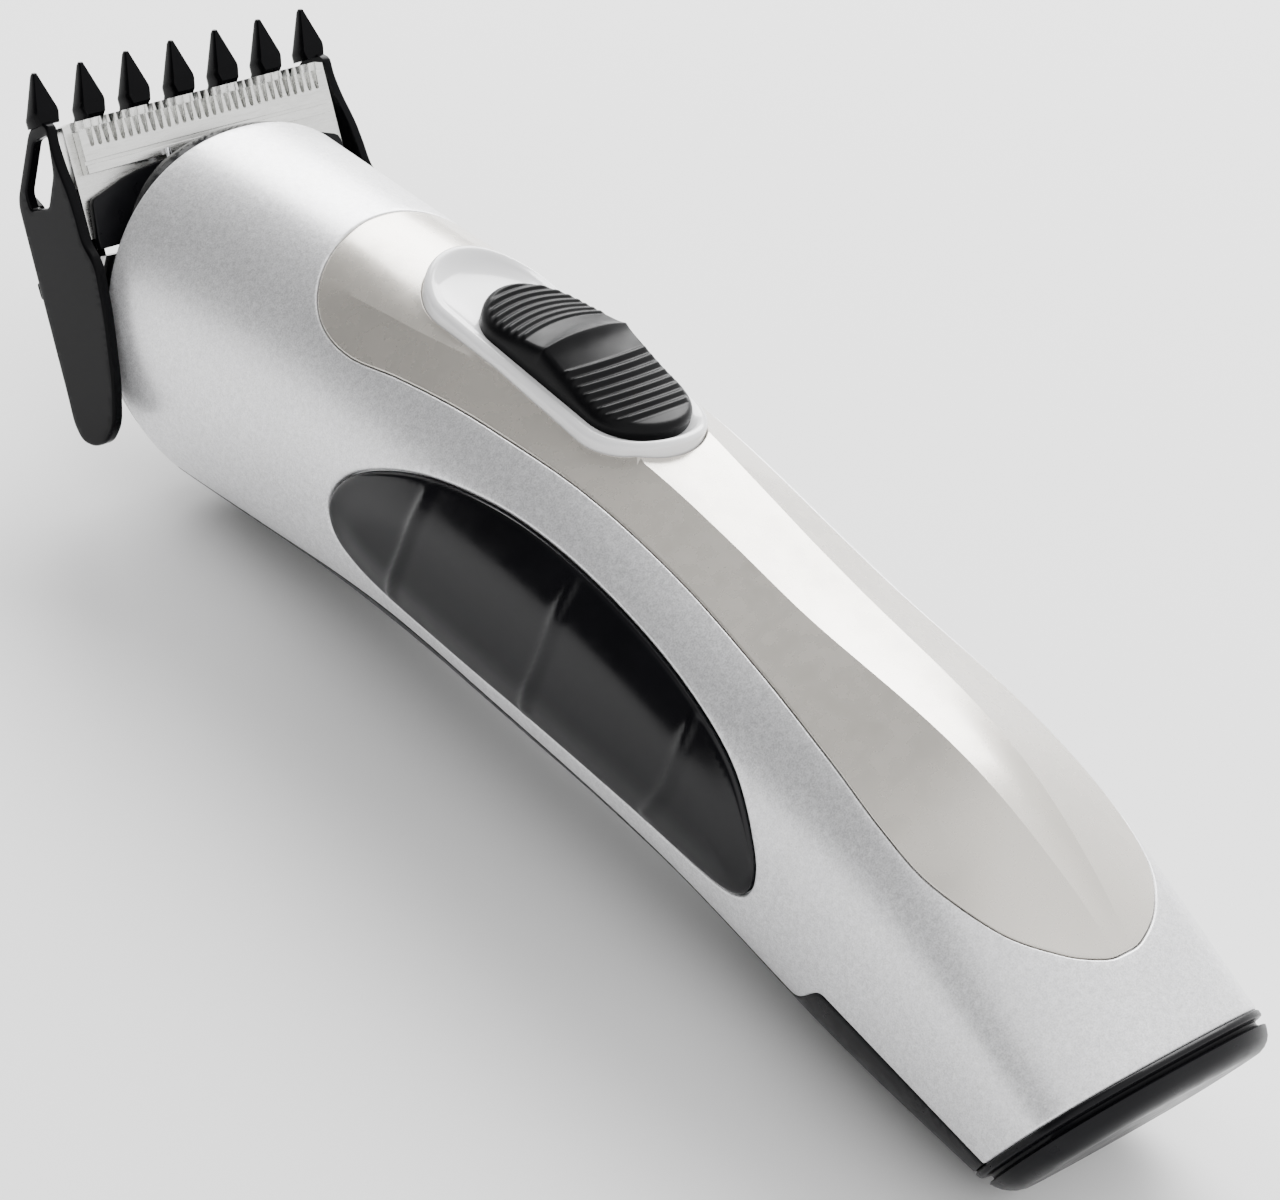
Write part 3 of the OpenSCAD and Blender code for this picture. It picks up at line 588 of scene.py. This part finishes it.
def lower_shell():
    """Black casing with seats round its three screws."""
    head_radius, seat_radius = 2.2, 2.35
    border = casing_border(lambda y: 180 + parting(y), lambda y: 360 - parting(y))
    loops = round_edge(border, 0.35)
    low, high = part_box("casing_screws")
    tail_screw = low.y / MM - SHIFT[1] + head_radius
    head_screw = high.y / MM - SHIFT[1] - head_radius
    side_screw = high.x / MM - head_radius
    seats = []
    for x, y in ((0, tail_screw), (-side_screw, head_screw), (side_screw, head_screw)):
        around = circle(x, y, seat_radius, 39)
        flat = np.array([(v, float(turn_at(v, u, top=False)) % (2 * math.pi) * GIRTH) for u, v in around])
        seats.append(flat)
        loops += round_edge(flat, 0.3, inside=False)

    def keep(p):
        inside = in_outline(p, border)
        for seat in seats:
            inside &= ~in_outline(p, seat)
        return inside
    flat, faces, values = triangulate(loops, [], 1.3, keep)
    height = np.array([0.0 if v is None else v for v in values])
    points, closed = thick_sheet(on_skin(flat, height), on_skin(flat, np.full(len(flat), -WALL)), faces)
    make_piece("belly_shell", points, closed, "housing", "black_casing", replaces=["lower_casing"])


def facet_lift(flat):
    """How far the panel stands above the skin: a gently crowned middle between two creases, and flat sides."""
    y = flat[:, 0]
    x = np.abs(skin(y, flat[:, 1] / GIRTH)[:, 0])
    edge, crease = panel_half(y), np.minimum(crease_half(y), panel_half(y) - 0.05)
    height = lambda at: skin(y, turn_at(y, at))[:, 2]
    ridge = 0.35 * smooth_step((CREASE_SIDE[0][0] - y) / 14) * smooth_step((y - 10) / 8)
    z_edge, z_crease = height(edge), height(crease) + ridge
    side = z_crease + (z_edge - z_crease) * (x - crease) / np.maximum(edge - crease, 0.05)
    target = np.where(x <= crease, height(x) + ridge * (x / np.maximum(crease, 0.05)) ** 2, side)
    return target - height(x)


def pearl_panel():
    """Pearl panel let into the back, with a crease on each side that stops short of the switch's ring."""
    outline = panel_outline()
    hole = bezel_outline(0.12)
    loops = round_edge(outline, 0.3) + round_edge(hole, 0.16, inside=False)
    creases = []
    for side in (-1, 1):
        line = smooth_outline(CREASE_SIDE, closed=False, spacing=0.5)
        line = line[line[:, 1] < panel_half(line[:, 0]) - 0.7]
        flat = np.stack([line[:, 0], turn_at(line[:, 0], side * line[:, 1]) * GIRTH], 1)
        outside = ~in_outline(flat, bezel_outline(0.9))
        cuts = np.flatnonzero(np.diff(outside.astype(int))) + 1
        creases += [(part, None) for part in np.split(flat, cuts)
                    if len(part) > 1 and outside[np.searchsorted(-flat[:, 0], -part[0, 0])]]

    def keep(p):
        return in_outline(p, outline) & ~in_outline(p, hole)
    flat, faces, values = triangulate(loops, creases, 0.95, keep)
    height = np.array([0.0 if v is None else v for v in values])
    outer = on_skin(flat, height + 0.02)
    outer[:, 2] += facet_lift(flat)
    points, closed = thick_sheet(outer, on_skin(flat, np.full(len(flat), -FLOOR_DEPTH + 0.1)), faces)
    make_piece("pearl_top_panel", points, closed, "housing", "pearl_panel", replaces=["top_panel"], sharp=10)


def grip(side, name, node):
    """Glossy side grip: a domed leaf with three rounded cross ribs."""
    stands_out, dome, rib_height, rib_width = 0.25, 0.65, 0.42, 0.75
    outline = grip_line(GRIP_EDGE, side)
    flat, faces, values = triangulate(round_edge(outline, 0.7), [], 0.6, lambda p: in_outline(p, outline), 0.25)
    height = np.array([0.0 if v is None else v for v in values]) + stands_out
    distance = np.full(len(flat), 1e9)
    for k in range(0, len(outline), 2):
        distance = np.minimum(distance, np.hypot(*(flat - outline[k]).T))
    height += dome * smooth_step(distance / 7)
    for rib in GRIP_RIBS:
        away = np.full(len(flat), 1e9)
        for p in grip_line(rib, side, closed=False, spacing=0.3):
            away = np.minimum(away, np.hypot(*(flat - p).T))
        height += rib_height * np.exp(-(away / rib_width) ** 2) * smooth_step(distance / 2.2)
    under = on_skin(flat, np.full(len(flat), -FLOOR_DEPTH + 0.1))
    points, closed = thick_sheet(on_skin(flat, height), under, faces)
    make_piece(name, points, closed, "housing", "grip_rubber", replaces=[node])


# ---- Ends of the casing ----

def end_ring(station, slope, offset, count=120):
    """Points round the casing on a leaning cut, offset outside the skin."""
    turns = np.linspace(0, 2 * math.pi, count, endpoint=False)
    y = np.full(count, float(station))
    for _ in range(12):
        point = skin(y, turns) + skin_normal(y, turns) * offset
        y = cut_place(point[:, 2], station, slope, RIM_Y if slope > 0 else station) - (point[:, 1] - y)
    return skin(y, turns) + skin_normal(y, turns) * offset


def tail_cap():
    """Cap that closes the tail: a lip, a groove, a flange and a rounded end. Its profile is (along Y, outwards)."""
    profile = [(5, -WALL - 0.2), (0.4, -WALL - 0.2), (0.1, -0.5), (-0.05, -0.1), (-0.2, 0.08), (-0.65, 0.1),
               (-0.85, 0.0), (-0.95, -0.3), (-1.02, -0.8), (-1.15, -0.95), (-1.5, -0.95), (-1.65, -0.8),
               (-1.72, -0.35), (-1.85, -0.15), (-2.3, -0.3), (-3.0, -0.65), (-3.5, -1.1), (-3.9, -1.7),
               (-4.15, -2.4), (-4.2, -3.2), (-4.2, -4.2)]
    shape = Shape()
    shape.loft([end_ring(TAIL_Y + y, -TAIL_TILT, d) for y, d in profile])
    shape.piece("tail_end_cap", "housing", "black_casing", replaces=["tail_cap"])


# ---- Bezel and button ----

def switch_place(points):
    """Points of the switch's own plane (x, y along, z out) in the clipper's millimetres."""
    p = np.asarray(points, float)
    c, s = math.cos(SWITCH_SLOPE), math.sin(SWITCH_SLOPE)
    return np.stack([p[:, 0], SWITCH_Y + p[:, 1] * c - p[:, 2] * s, SWITCH_Z + p[:, 1] * s + p[:, 2] * c], 1)


def drape(x, share):
    """Drop of the switch's ring at x, as a share of the whole drop."""
    return -BEZEL_DROP * share * (np.asarray(x) / (BEZEL_WIDTH / 2)) ** 2


def bezel():
    """White ring round the switch, with a bowl inside it that the button slides in. Its profile is (inwards,
    height, share of the drop)."""
    half = BEZEL_WIDTH / 2
    profile = [(0, -4.5, 1), (0, -0.55, 1), (0.04, -0.3, 1), (0.15, -0.12, 1), (0.38, 0.0, 1), (0.7, 0.02, 1),
               (0.95, -0.04, 1), (1.15, -0.2, 1), (1.35, -0.45, 0.8), (1.7, -0.9, 0.6), (2.3, -1.4, 0.3),
               (3.0, -1.75, 0.1), (4.0, -2.0, 0), (5.5, -2.1, 0), (7.5, -2.1, 0), (half - 0.02, -2.1, 0)]
    rows = []
    for inset, z, share in profile:
        loop = racetrack(BEZEL_LENGTH - 2 * inset, BEZEL_WIDTH - 2 * inset)
        rows.append([(x, y, z + drape(x, share)) for y, x in loop])
    shape = Shape()
    shape.loft(rows, switch_place)
    shape.piece("switch_ring", "housing", "white_bezel", replaces=["switch_bezel"])


def switch_button():
    """Ribbed slide button: a smooth ridge across the middle with a row of bowed ribs on each side."""
    low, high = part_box("switch_button")
    centre = (low.y + high.y) / 2 / MM - SHIFT[1] - SWITCH_Y
    length, width = 30.0, 14.2
    radius, straight = width / 2, length - width
    ridge_at, rib_pitch, rib_height, first_rib, last_rib = 1.0, 1.22, 0.17, 3.9, 14.0
    underside = -1.8
    rows = []
    end = length / 2
    for y in np.concatenate([[-end + 0.01, -end + 0.06], np.arange(-end + 0.15, end, 0.12),
                             [end - 0.06, end - 0.01]]):
        past = max(0.0, abs(y) - straight / 2)
        half = math.sqrt(max(1e-4, radius ** 2 - past ** 2))
        x = half * np.sin(np.linspace(-math.pi / 2, math.pi / 2, 47))
        edge = radius - np.hypot(x, past)
        away = y - ridge_at + 0.022 * x * x * (1 if y > ridge_at else -1) * 0.8
        hump = 1.9 * np.exp(-np.abs((y - ridge_at) / 6.5) ** 1.7) + 0.75 * np.exp(-np.abs(away / 1.1) ** 1.5)
        off = np.abs(away)
        ribs = rib_height * (1 + np.cos(2 * math.pi * (off - first_rib) / rib_pitch + math.pi))
        ribs *= (smooth_step((off - first_rib) / 0.3) * smooth_step((last_rib - off) / 0.4)
                 * smooth_step((edge - 0.5) / 0.7))
        shoulder = np.sqrt(np.clip(1 - (1 - np.clip(edge / 0.9, 0, 1)) ** 2, 0, 1))
        crown = 0.85 * (1 - (x / radius) ** 2)
        top = -1.1 + 0.95 * shoulder + crown + hump * (0.35 + 0.65 * shoulder) + ribs
        rows.append([(u, y + centre, w) for u, w in zip(x, top)] + [(half, y + centre, underside),
                                                                    (-half, y + centre, underside)])
    shape = Shape()
    shape.loft(rows, switch_place)
    shape.piece("ribbed_switch", "switch", "black_button", replaces=["switch_button"], sharp=70)


# ---- Head collar ----

BLADE_Y = 173.6
BLADE_Z = 43.3
BLADE_TILT = math.radians(53)
PLATE = 1.3
HOLDER = 2.6
BLADE_HALF = 20.5
LUG_Y = -14.2
BLADE_SCREW_Y = -12.4
TOOTH_PITCH = 39 / 33


def blade_place(points):
    """Points of the blade's plane (x, y towards the tips, z out of the back of the blade) in millimetres."""
    p = np.asarray(points, float)
    c, s = math.cos(BLADE_TILT), math.sin(BLADE_TILT)
    return np.stack([p[:, 0], BLADE_Y + p[:, 1] * c - p[:, 2] * s, BLADE_Z + p[:, 1] * s + p[:, 2] * c], 1)


def cut_away(obj, low, high, place):
    """Cuts a box, given in its own plane, out of a piece."""
    corners = [(x, y, z) for x in (low[0], high[0]) for y in (low[1], high[1]) for z in (low[2], high[2])]
    mesh = bpy.data.meshes.new("cutter")
    mesh.from_pydata(put_in_frame(place(corners)).tolist(), [],
                     [(0, 1, 3, 2), (4, 6, 7, 5), (0, 4, 5, 1), (2, 3, 7, 6), (0, 2, 6, 4), (1, 5, 7, 3)])
    cutter = bpy.data.objects.new("cutter", mesh)
    bpy.context.scene.collection.objects.link(cutter)
    modifier = obj.modifiers.new("cut", "BOOLEAN")
    modifier.operation = "DIFFERENCE"
    modifier.solver = "EXACT"
    modifier.object = cutter
    bpy.context.view_layer.update()
    cut = bpy.data.meshes.new_from_object(obj.evaluated_get(bpy.context.evaluated_depsgraph_get()))
    obj.modifiers.remove(modifier)
    obj.data = cut
    bpy.data.objects.remove(cutter)
    cut.set_sharp_from_angle(angle=math.radians(40))


def head_collar():
    """Dark ring that carries the blade unit: a rounded band beside the rim, then a bevel down to its mouth, cut
    open for the blades. Its profile is (along Y, outwards)."""
    profile = [(-5, -2.0), (0.08, -2.0), (0.1, -0.5), (0.25, -0.3), (1.2, -0.48), (2.1, -0.8), (2.4, -1.0),
               (2.6, -1.2), (3.6, -1.8), (4.6, -2.45), (4.9, -2.7), (5.5, -3.4), (5.9, -4.0), (5.95, -4.5),
               (5.7, -5.0), (4.8, -4.3), (2.5, -4.0), (0, -3.8), (-5, -3.8)]
    n = 200
    points = np.vstack([end_ring(RIM_Y + y, RIM_TILT, d, n) for y, d in profile])
    steps = [(i * n, (i + 1) % len(profile) * n) for i in range(len(profile))]
    faces = [[a + j, a + (j + 1) % n, b + (j + 1) % n, b + j] for a, b in steps for j in range(n)]
    ring = make_piece("head_ring", points, faces, "housing", "collar_black", replaces=["head_collar"],
                      weighted=False)
    cut_away(ring, (-30, -16.5, -PLATE - HOLDER - 0.4), (30, 24, 4.4), blade_place)


# ---- Blades ----

def toothed(count, width, front, depth, rear):
    """Outline (x, y) of a blade: its row of tapered teeth at the front, and the given rear edge, left to right."""
    points = []
    open_half, root_half = TOOTH_PITCH * 0.5 - 0.16, TOOTH_PITCH * 0.19
    for i in range(count)[::-1]:
        slot = (i - (count - 1) / 2) * TOOTH_PITCH
        points += [(slot + open_half, front), (slot + root_half + 0.06, front - depth * 0.75),
                   (slot + root_half, front - depth + 0.15), (slot, front - depth),
                   (slot - root_half, front - depth + 0.15), (slot - root_half - 0.06, front - depth * 0.75),
                   (slot - open_half, front)]
    return [(width / 2, front - 0.3)] + points + [(-width / 2, front - 0.3)] + rear


def blades():
    """Wide fixed blade with lugs at its rear corners, and the narrower moving blade with a groove across it."""
    shape = Shape()
    half = BLADE_HALF
    rear = [(-half, LUG_Y), (-half + 0.8, LUG_Y), (-half + 1.6, LUG_Y + 1), (half - 1.6, LUG_Y + 1),
            (half - 0.8, LUG_Y), (half, LUG_Y)]
    shape.slab(toothed(33, 2 * half, 0, 2.9, rear), -PLATE, 0, 0.06, 2, blade_place)
    shape.piece("fixed_toothed_blade", "blade_unit", "blade_steel", replaces=["fixed_blade"], sharp=30)

    half = 19.3
    behind = -6.5
    shape = Shape()
    full = toothed(31, 2 * half, -1, 2.4, [(-half, behind), (half, behind)])
    shape.slab(full, 0.05, 0.98, 0.05, 2, blade_place)
    front = toothed(31, 2 * half, -1, 2.4, [(-half, -4.95), (half, -4.95)])
    shape.slab(front, 0.93, 1.35, 0.08, 2, blade_place)
    shape.slab([(half, -5.4), (-half, -5.4), (-half, behind), (half, behind)], 0.93, 1.35, 0.1, 2, blade_place)
    shape.piece("moving_toothed_blade", "cutter", "blade_steel", replaces=["moving_blade"], sharp=30)


def holder():
    """Black frame of the blade unit: a plate under the blade, a shield over its rear edge, and a tray to the
    hinge pin."""
    back = LUG_Y - 1.4
    shape = Shape()
    shape.slab([(20.2, -5), (-20.2, -5), (-20.2, back), (20.2, back)], -PLATE - HOLDER, -PLATE - 0.02, 0.4, 2,
               blade_place)
    shield = [(6, -7), (9, -7.1), (12, -7.4), (14.5, -7.9), (16.6, -8.6), (18.2, -9.1), (18.9, -9.3), (19.4, -9.6),
              (19.7, -10.2), (20.2, LUG_Y), (20.2, back), (6, back)]
    rear = [(6.2, back + 0.1), (20, back + 0.1), (20, back + 1.2), (6.2, back + 1.2)]
    tray = [(168.8, 32), (168.2, 29.6), (160.8, 15), (157.2, 10.5), (155.2, 12.4)]
    for side in (-1, 1):
        shape.slab([(side * x, y) for x, y in shield], 0.02, 1.02, 0.2, 2, blade_place)
        shape.slab([(side * x, y) for x, y in rear], -PLATE - 0.3, 0.8, 0.1, 2, blade_place)
        shape.slab(tray + [(156.2, 17.9), (166.6, 32)], *sorted((side * 11.4, side * 12.7)), 0.3)
    shape.slab(tray + [(156, 13.5), (158.2, 13.5), (166, 29.5), (166.6, 32)], -12, 12, 0.3)
    shape.slab(circle(156.8, 12, 0.9, 24), -13.6, 13.6, 0.15)
    shape.piece("blade_unit_frame", "blade_unit", "black_casing", replaces=["blade_holder"], sharp=40)


def blade_screws():
    """Two pan-head screws: a shank, a flat head, and four quarters on it that leave a cross slot between them."""
    head_radius, shank_radius, slot_half, slot_angle = 2, 0.9, 0.3, 0.16
    x_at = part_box("blade_screws")[1].x / MM - head_radius
    shape = Shape()
    for side in (-1, 1):
        x = side * x_at
        for turn in range(4):
            start = math.radians(90 * turn)
            middle = start + math.pi / 4
            arc = np.linspace(start + slot_angle, start + math.pi / 2 - slot_angle, 9)
            outline = [(x + 1.95 * math.cos(a), BLADE_SCREW_Y + 1.95 * math.sin(a)) for a in arc]
            outline.append((x + slot_half * math.sqrt(2) * math.cos(middle),
                            BLADE_SCREW_Y + slot_half * math.sqrt(2) * math.sin(middle)))
            shape.slab(outline, 1.3, 1.9, 0.15, 2, blade_place)
        shape.slab(circle(x, BLADE_SCREW_Y, head_radius, 32), 1.04, 1.45, 0.08, 2, blade_place)
        shape.slab(circle(x, BLADE_SCREW_Y, shank_radius, 32), -3.8, 1.1, 0.08, 2, blade_place)
    shape.piece("blade_unit_screws", "blade_unit", "screw_steel", replaces=["blade_screws"], sharp=40)


# ---- Guide comb, its side views as (y, z) ----

RIB = [(177.9, 40.5), (178.7, 29.6), (165.6, 12.9), (163, 14.6), (173.4, 29.6), (174.6, 33.5), (175, 38.5),
       (175.2, 41.4), (176.6, 42)]
CHEEK = [(177.8, 40.6), (178, 30.3), (169.4, 19.9), (162.5, 11.6), (160.2, 8.6), (158, 7.4), (155.6, 8.1),
         (153.2, 10.2), (152.2, 13.5), (153.6, 18.6), (157.2, 26.2), (160.6, 31.6), (163.8, 32.9),
         (165.7, 35.2), (167.8, 37.3), (170.8, 39.5), (172.9, 41.6), (173.9, 43.3), (176.2, 42.9)]
WINDOW = [(176.3, 39.9), (173.9, 42.2), (171.6, 38), (171.5, 33.2), (174.9, 30.8), (176.4, 32.4)]
FOOT = [(177.6, 31.5), (177.7, 30.1), (167.5, 17), (165.5, 18.6), (174, 29.5), (174.6, 31)]
LOW_BAR = [(167.1, 14.8), (165.6, 12.9), (163, 14.6), (164.5, 16.7)]
HIGH_BAR = [(171, 20), (172.4, 21.7), (170.2, 23.4), (168.9, 21.7)]
RIB_PITCH = 6.97
RIB_HALF = 0.7
CHEEK_IN = 20.8
CHEEK_OUT = 22.1
# The cheeks stand that far out at CHEEK_Y, and spread by CHEEK_SPREAD for each millimetre towards the tail
CHEEK_Y = 178
CHEEK_SPREAD = 0.065
FOOT_OUT = 21.9


def rounded(corners, radius, steps=4):
    """The polygon with each corner replaced by a short arc."""
    p = np.array(corners, float)
    out = []
    for before, here, after in zip(np.roll(p, 1, 0), p, np.roll(p, -1, 0)):
        a, b = before - here, after - here
        la, lb = np.linalg.norm(a), np.linalg.norm(b)
        reach = min(radius, 0.4 * la, 0.4 * lb)
        start, end = here + a / la * reach, here + b / lb * reach
        for t in np.linspace(0, 1, steps + 1):
            out.append((1 - t) ** 2 * start + 2 * t * (1 - t) * here + t * t * end)
    return np.array(out)


def spaced(outline, spacing):
    """The same closed outline, with points at even spacing."""
    closed = np.vstack([outline, outline[:1]])
    run = np.concatenate([[0], np.cumsum(np.linalg.norm(np.diff(closed, axis=0), axis=1))])
    at = np.linspace(0, run[-1], round(run[-1] / spacing) + 1)[:-1]
    return np.stack([np.interp(at, run, closed[:, k]) for k in (0, 1)], 1)


def comb_tooth(shape, x, stem):
    """Wedge tooth: widest beside the blade's tips, with a blunt tip. Each row goes round one section of it."""
    def row(half, outer, inner, soft):
        (y0, z0), (y1, z1) = outer, inner
        across = [(half - soft, 0), (half, 0.25), (half, 0.75), (half - soft, 1), (soft - half, 1), (-half, 0.75),
                  (-half, 0.25), (soft - half, 0)]
        return [(x + u, y0 + (y1 - y0) * v, z0 + (z1 - z0) * v) for u, v in across]
    rows = [row(RIB_HALF, (178.1, 36.5), (175.6, 38), 0.1)] if stem else []
    rows += [row(1.6, (177.6, 40.8), (175.1, 42.8), 0.3), row(1.88, (177.85, 41.8), (175.75, 43.6), 0.3),
             row(1.9, (177.9, 42), (175.9, 43.9), 0.3), row(1.8, (178, 42.4), (176.1, 44.3), 0.3),
             row(0.42, (179.75, 46.9), (178.9, 47.2), 0.1), row(0.25, (179.75, 47.35), (179.2, 47.55), 0.08)]
    shape.loft(rows)


def guide_comb():
    """Slip-on comb: seven teeth, ribs under the inner five, two cheeks with a window, and two cross bars."""
    shape = Shape()
    for i in range(-2, 3):
        shape.slab(rounded(RIB, 1.0), i * RIB_PITCH - RIB_HALF, i * RIB_PITCH + RIB_HALF, 0.22)
    for i in range(-3, 4):
        comb_tooth(shape, i * RIB_PITCH, abs(i) < 3)
    outline = spaced(rounded(CHEEK, 1.5), 0.5)
    window = spaced(rounded(WINDOW, 0.6, 3), 0.4)
    loops = round_edge(outline, 0.4) + round_edge(window, 0.3, inside=False)
    flat, faces, values = triangulate(
        loops, [], 1.0, lambda p: in_outline(p, outline) & ~in_outline(p, window), 0.3)
    drop = np.array([0.0 if v is None else v for v in values])
    spread = CHEEK_SPREAD * (CHEEK_Y - flat[:, 0])
    for side in (-1, 1):
        outer = np.insert(flat, 0, side * (CHEEK_OUT + spread + drop), axis=1)
        inner = np.insert(flat, 0, side * (CHEEK_IN + spread), axis=1)
        shape.add(*thick_sheet(outer, inner, faces))
        shape.slab(rounded(FOOT, 0.6), *sorted((side * (3 * RIB_PITCH - RIB_HALF), side * FOOT_OUT)), 0.15)
    for bar, reach in ((LOW_BAR, 2 * RIB_PITCH), (HIGH_BAR, FOOT_OUT)):
        shape.slab(rounded(bar, 0.5), -reach, reach, 0.1)
    shape.piece("slip_on_comb", "comb", "comb_black", replaces=["guide_comb"], sharp=35)


upper_shell()
lower_shell()
pearl_panel()
grip(-1, "side_grip_left", "left_grip")
grip(1, "side_grip_right", "right_grip")
bezel()
switch_button()
tail_cap()
head_collar()
blades()
holder()
blade_screws()
guide_comb()


# ---- CAD nodes that stay get the finish of their slot ----

SLOT_OF = {row["node"]: row["material_slot"] for row in frame["record"]["subparts"]}
for node, obj in frame["nodes"].items():
    obj.data.materials.clear()
    obj.data.materials.append(MATERIALS[SLOT_OF[node]])


# ---- Studio ----

def floor():
    """Plain pale floor just under the clipper."""
    mat, tree, shader = material("floor_paint", (0.93, 0.93, 0.93), 0.75)
    tree.links.new(ramp(tree, noise(tree, 3, 3), grey(0.92), grey(0.94)), shader.inputs["Base Color"])
    bpy.ops.mesh.primitive_plane_add(size=8, location=(0, 0, -0.0002))
    plane = bpy.context.object
    plane.name = "floor"
    plane.data.materials.append(mat)


def area_light(name, azimuth, elevation, distance, size, power):
    a, e = math.radians(azimuth), math.radians(elevation)
    data = bpy.data.lights.new(name, "AREA")
    data.shape = "RECTANGLE"
    data.size, data.size_y = size
    data.energy = power
    obj = bpy.data.objects.new(name, data)
    obj.location = Vector((math.cos(a) * math.cos(e), math.sin(a) * math.cos(e), math.sin(e))) * distance
    obj.rotation_euler = (-obj.location).to_track_quat("-Z", "Y").to_euler()
    bpy.context.scene.collection.objects.link(obj)


def studio_world(strength):
    """Even white room with a dark wall, low on the head's left, and a grey patch overhead, for the gloss to mirror."""
    world = bpy.data.worlds.new("studio")
    world.use_nodes = True
    tree = world.node_tree
    background = tree.nodes["Background"]
    coords = tree.nodes.new("ShaderNodeTexCoord")
    walls = []
    for direction, low, near, far in (((-0.82, 0.52, 0.2), 0.02, 0.55, 0.86),
                                      ((-0.05, 0.5, 0.86), 0.1, 0.78, 0.93)):
        facing = tree.nodes.new("ShaderNodeVectorMath")
        facing.operation = "DOT_PRODUCT"
        facing.inputs[1].default_value = Vector(direction).normalized()
        tree.links.new(coords.outputs["Generated"], facing.inputs[0])
        walls.append(ramp(tree, facing.outputs["Value"], grey(1.0), grey(low), near, far))
    both = tree.nodes.new("ShaderNodeVectorMath")
    both.operation = "MULTIPLY"
    tree.links.new(walls[0], both.inputs[0])
    tree.links.new(walls[1], both.inputs[1])
    tree.links.new(both.outputs["Vector"], background.inputs["Color"])
    background.inputs["Strength"].default_value = strength
    bpy.context.scene.world = world


def camera():
    """Three-quarter view from the tail's left side, rolled so that the clipper runs down to the right."""
    azimuth, elevation, roll = (math.radians(v) for v in (-50.5, 34.9, 13.9))
    image_width, focal_length, distance = 1280, 4150, 0.484
    target = Vector(put_in_frame([0, 90, 20]))
    right = Vector((math.cos(azimuth), math.sin(azimuth), 0))
    back = Vector((math.sin(azimuth) * math.cos(elevation), -math.cos(azimuth) * math.cos(elevation),
                   math.sin(elevation)))
    up = back.cross(right)
    turned = right * math.cos(roll) + up * math.sin(roll)
    upright = up * math.cos(roll) - right * math.sin(roll)
    data = bpy.data.cameras.new("camera")
    data.sensor_width = 36
    data.lens = focal_length / image_width * data.sensor_width
    data.shift_x = 36 / image_width
    data.shift_y = 5 / image_width
    data.clip_start = 0.01
    obj = bpy.data.objects.new("camera", data)
    turn = Matrix((turned, upright, back)).transposed()
    obj.matrix_world = Matrix.Translation(target + back * distance) @ turn.to_4x4()
    bpy.context.scene.collection.objects.link(obj)
    bpy.context.scene.camera = obj


floor()
studio_world(1.9)
area_light("key_right", 40, 35, 1.3, (1.2, 0.8), 46)
camera()
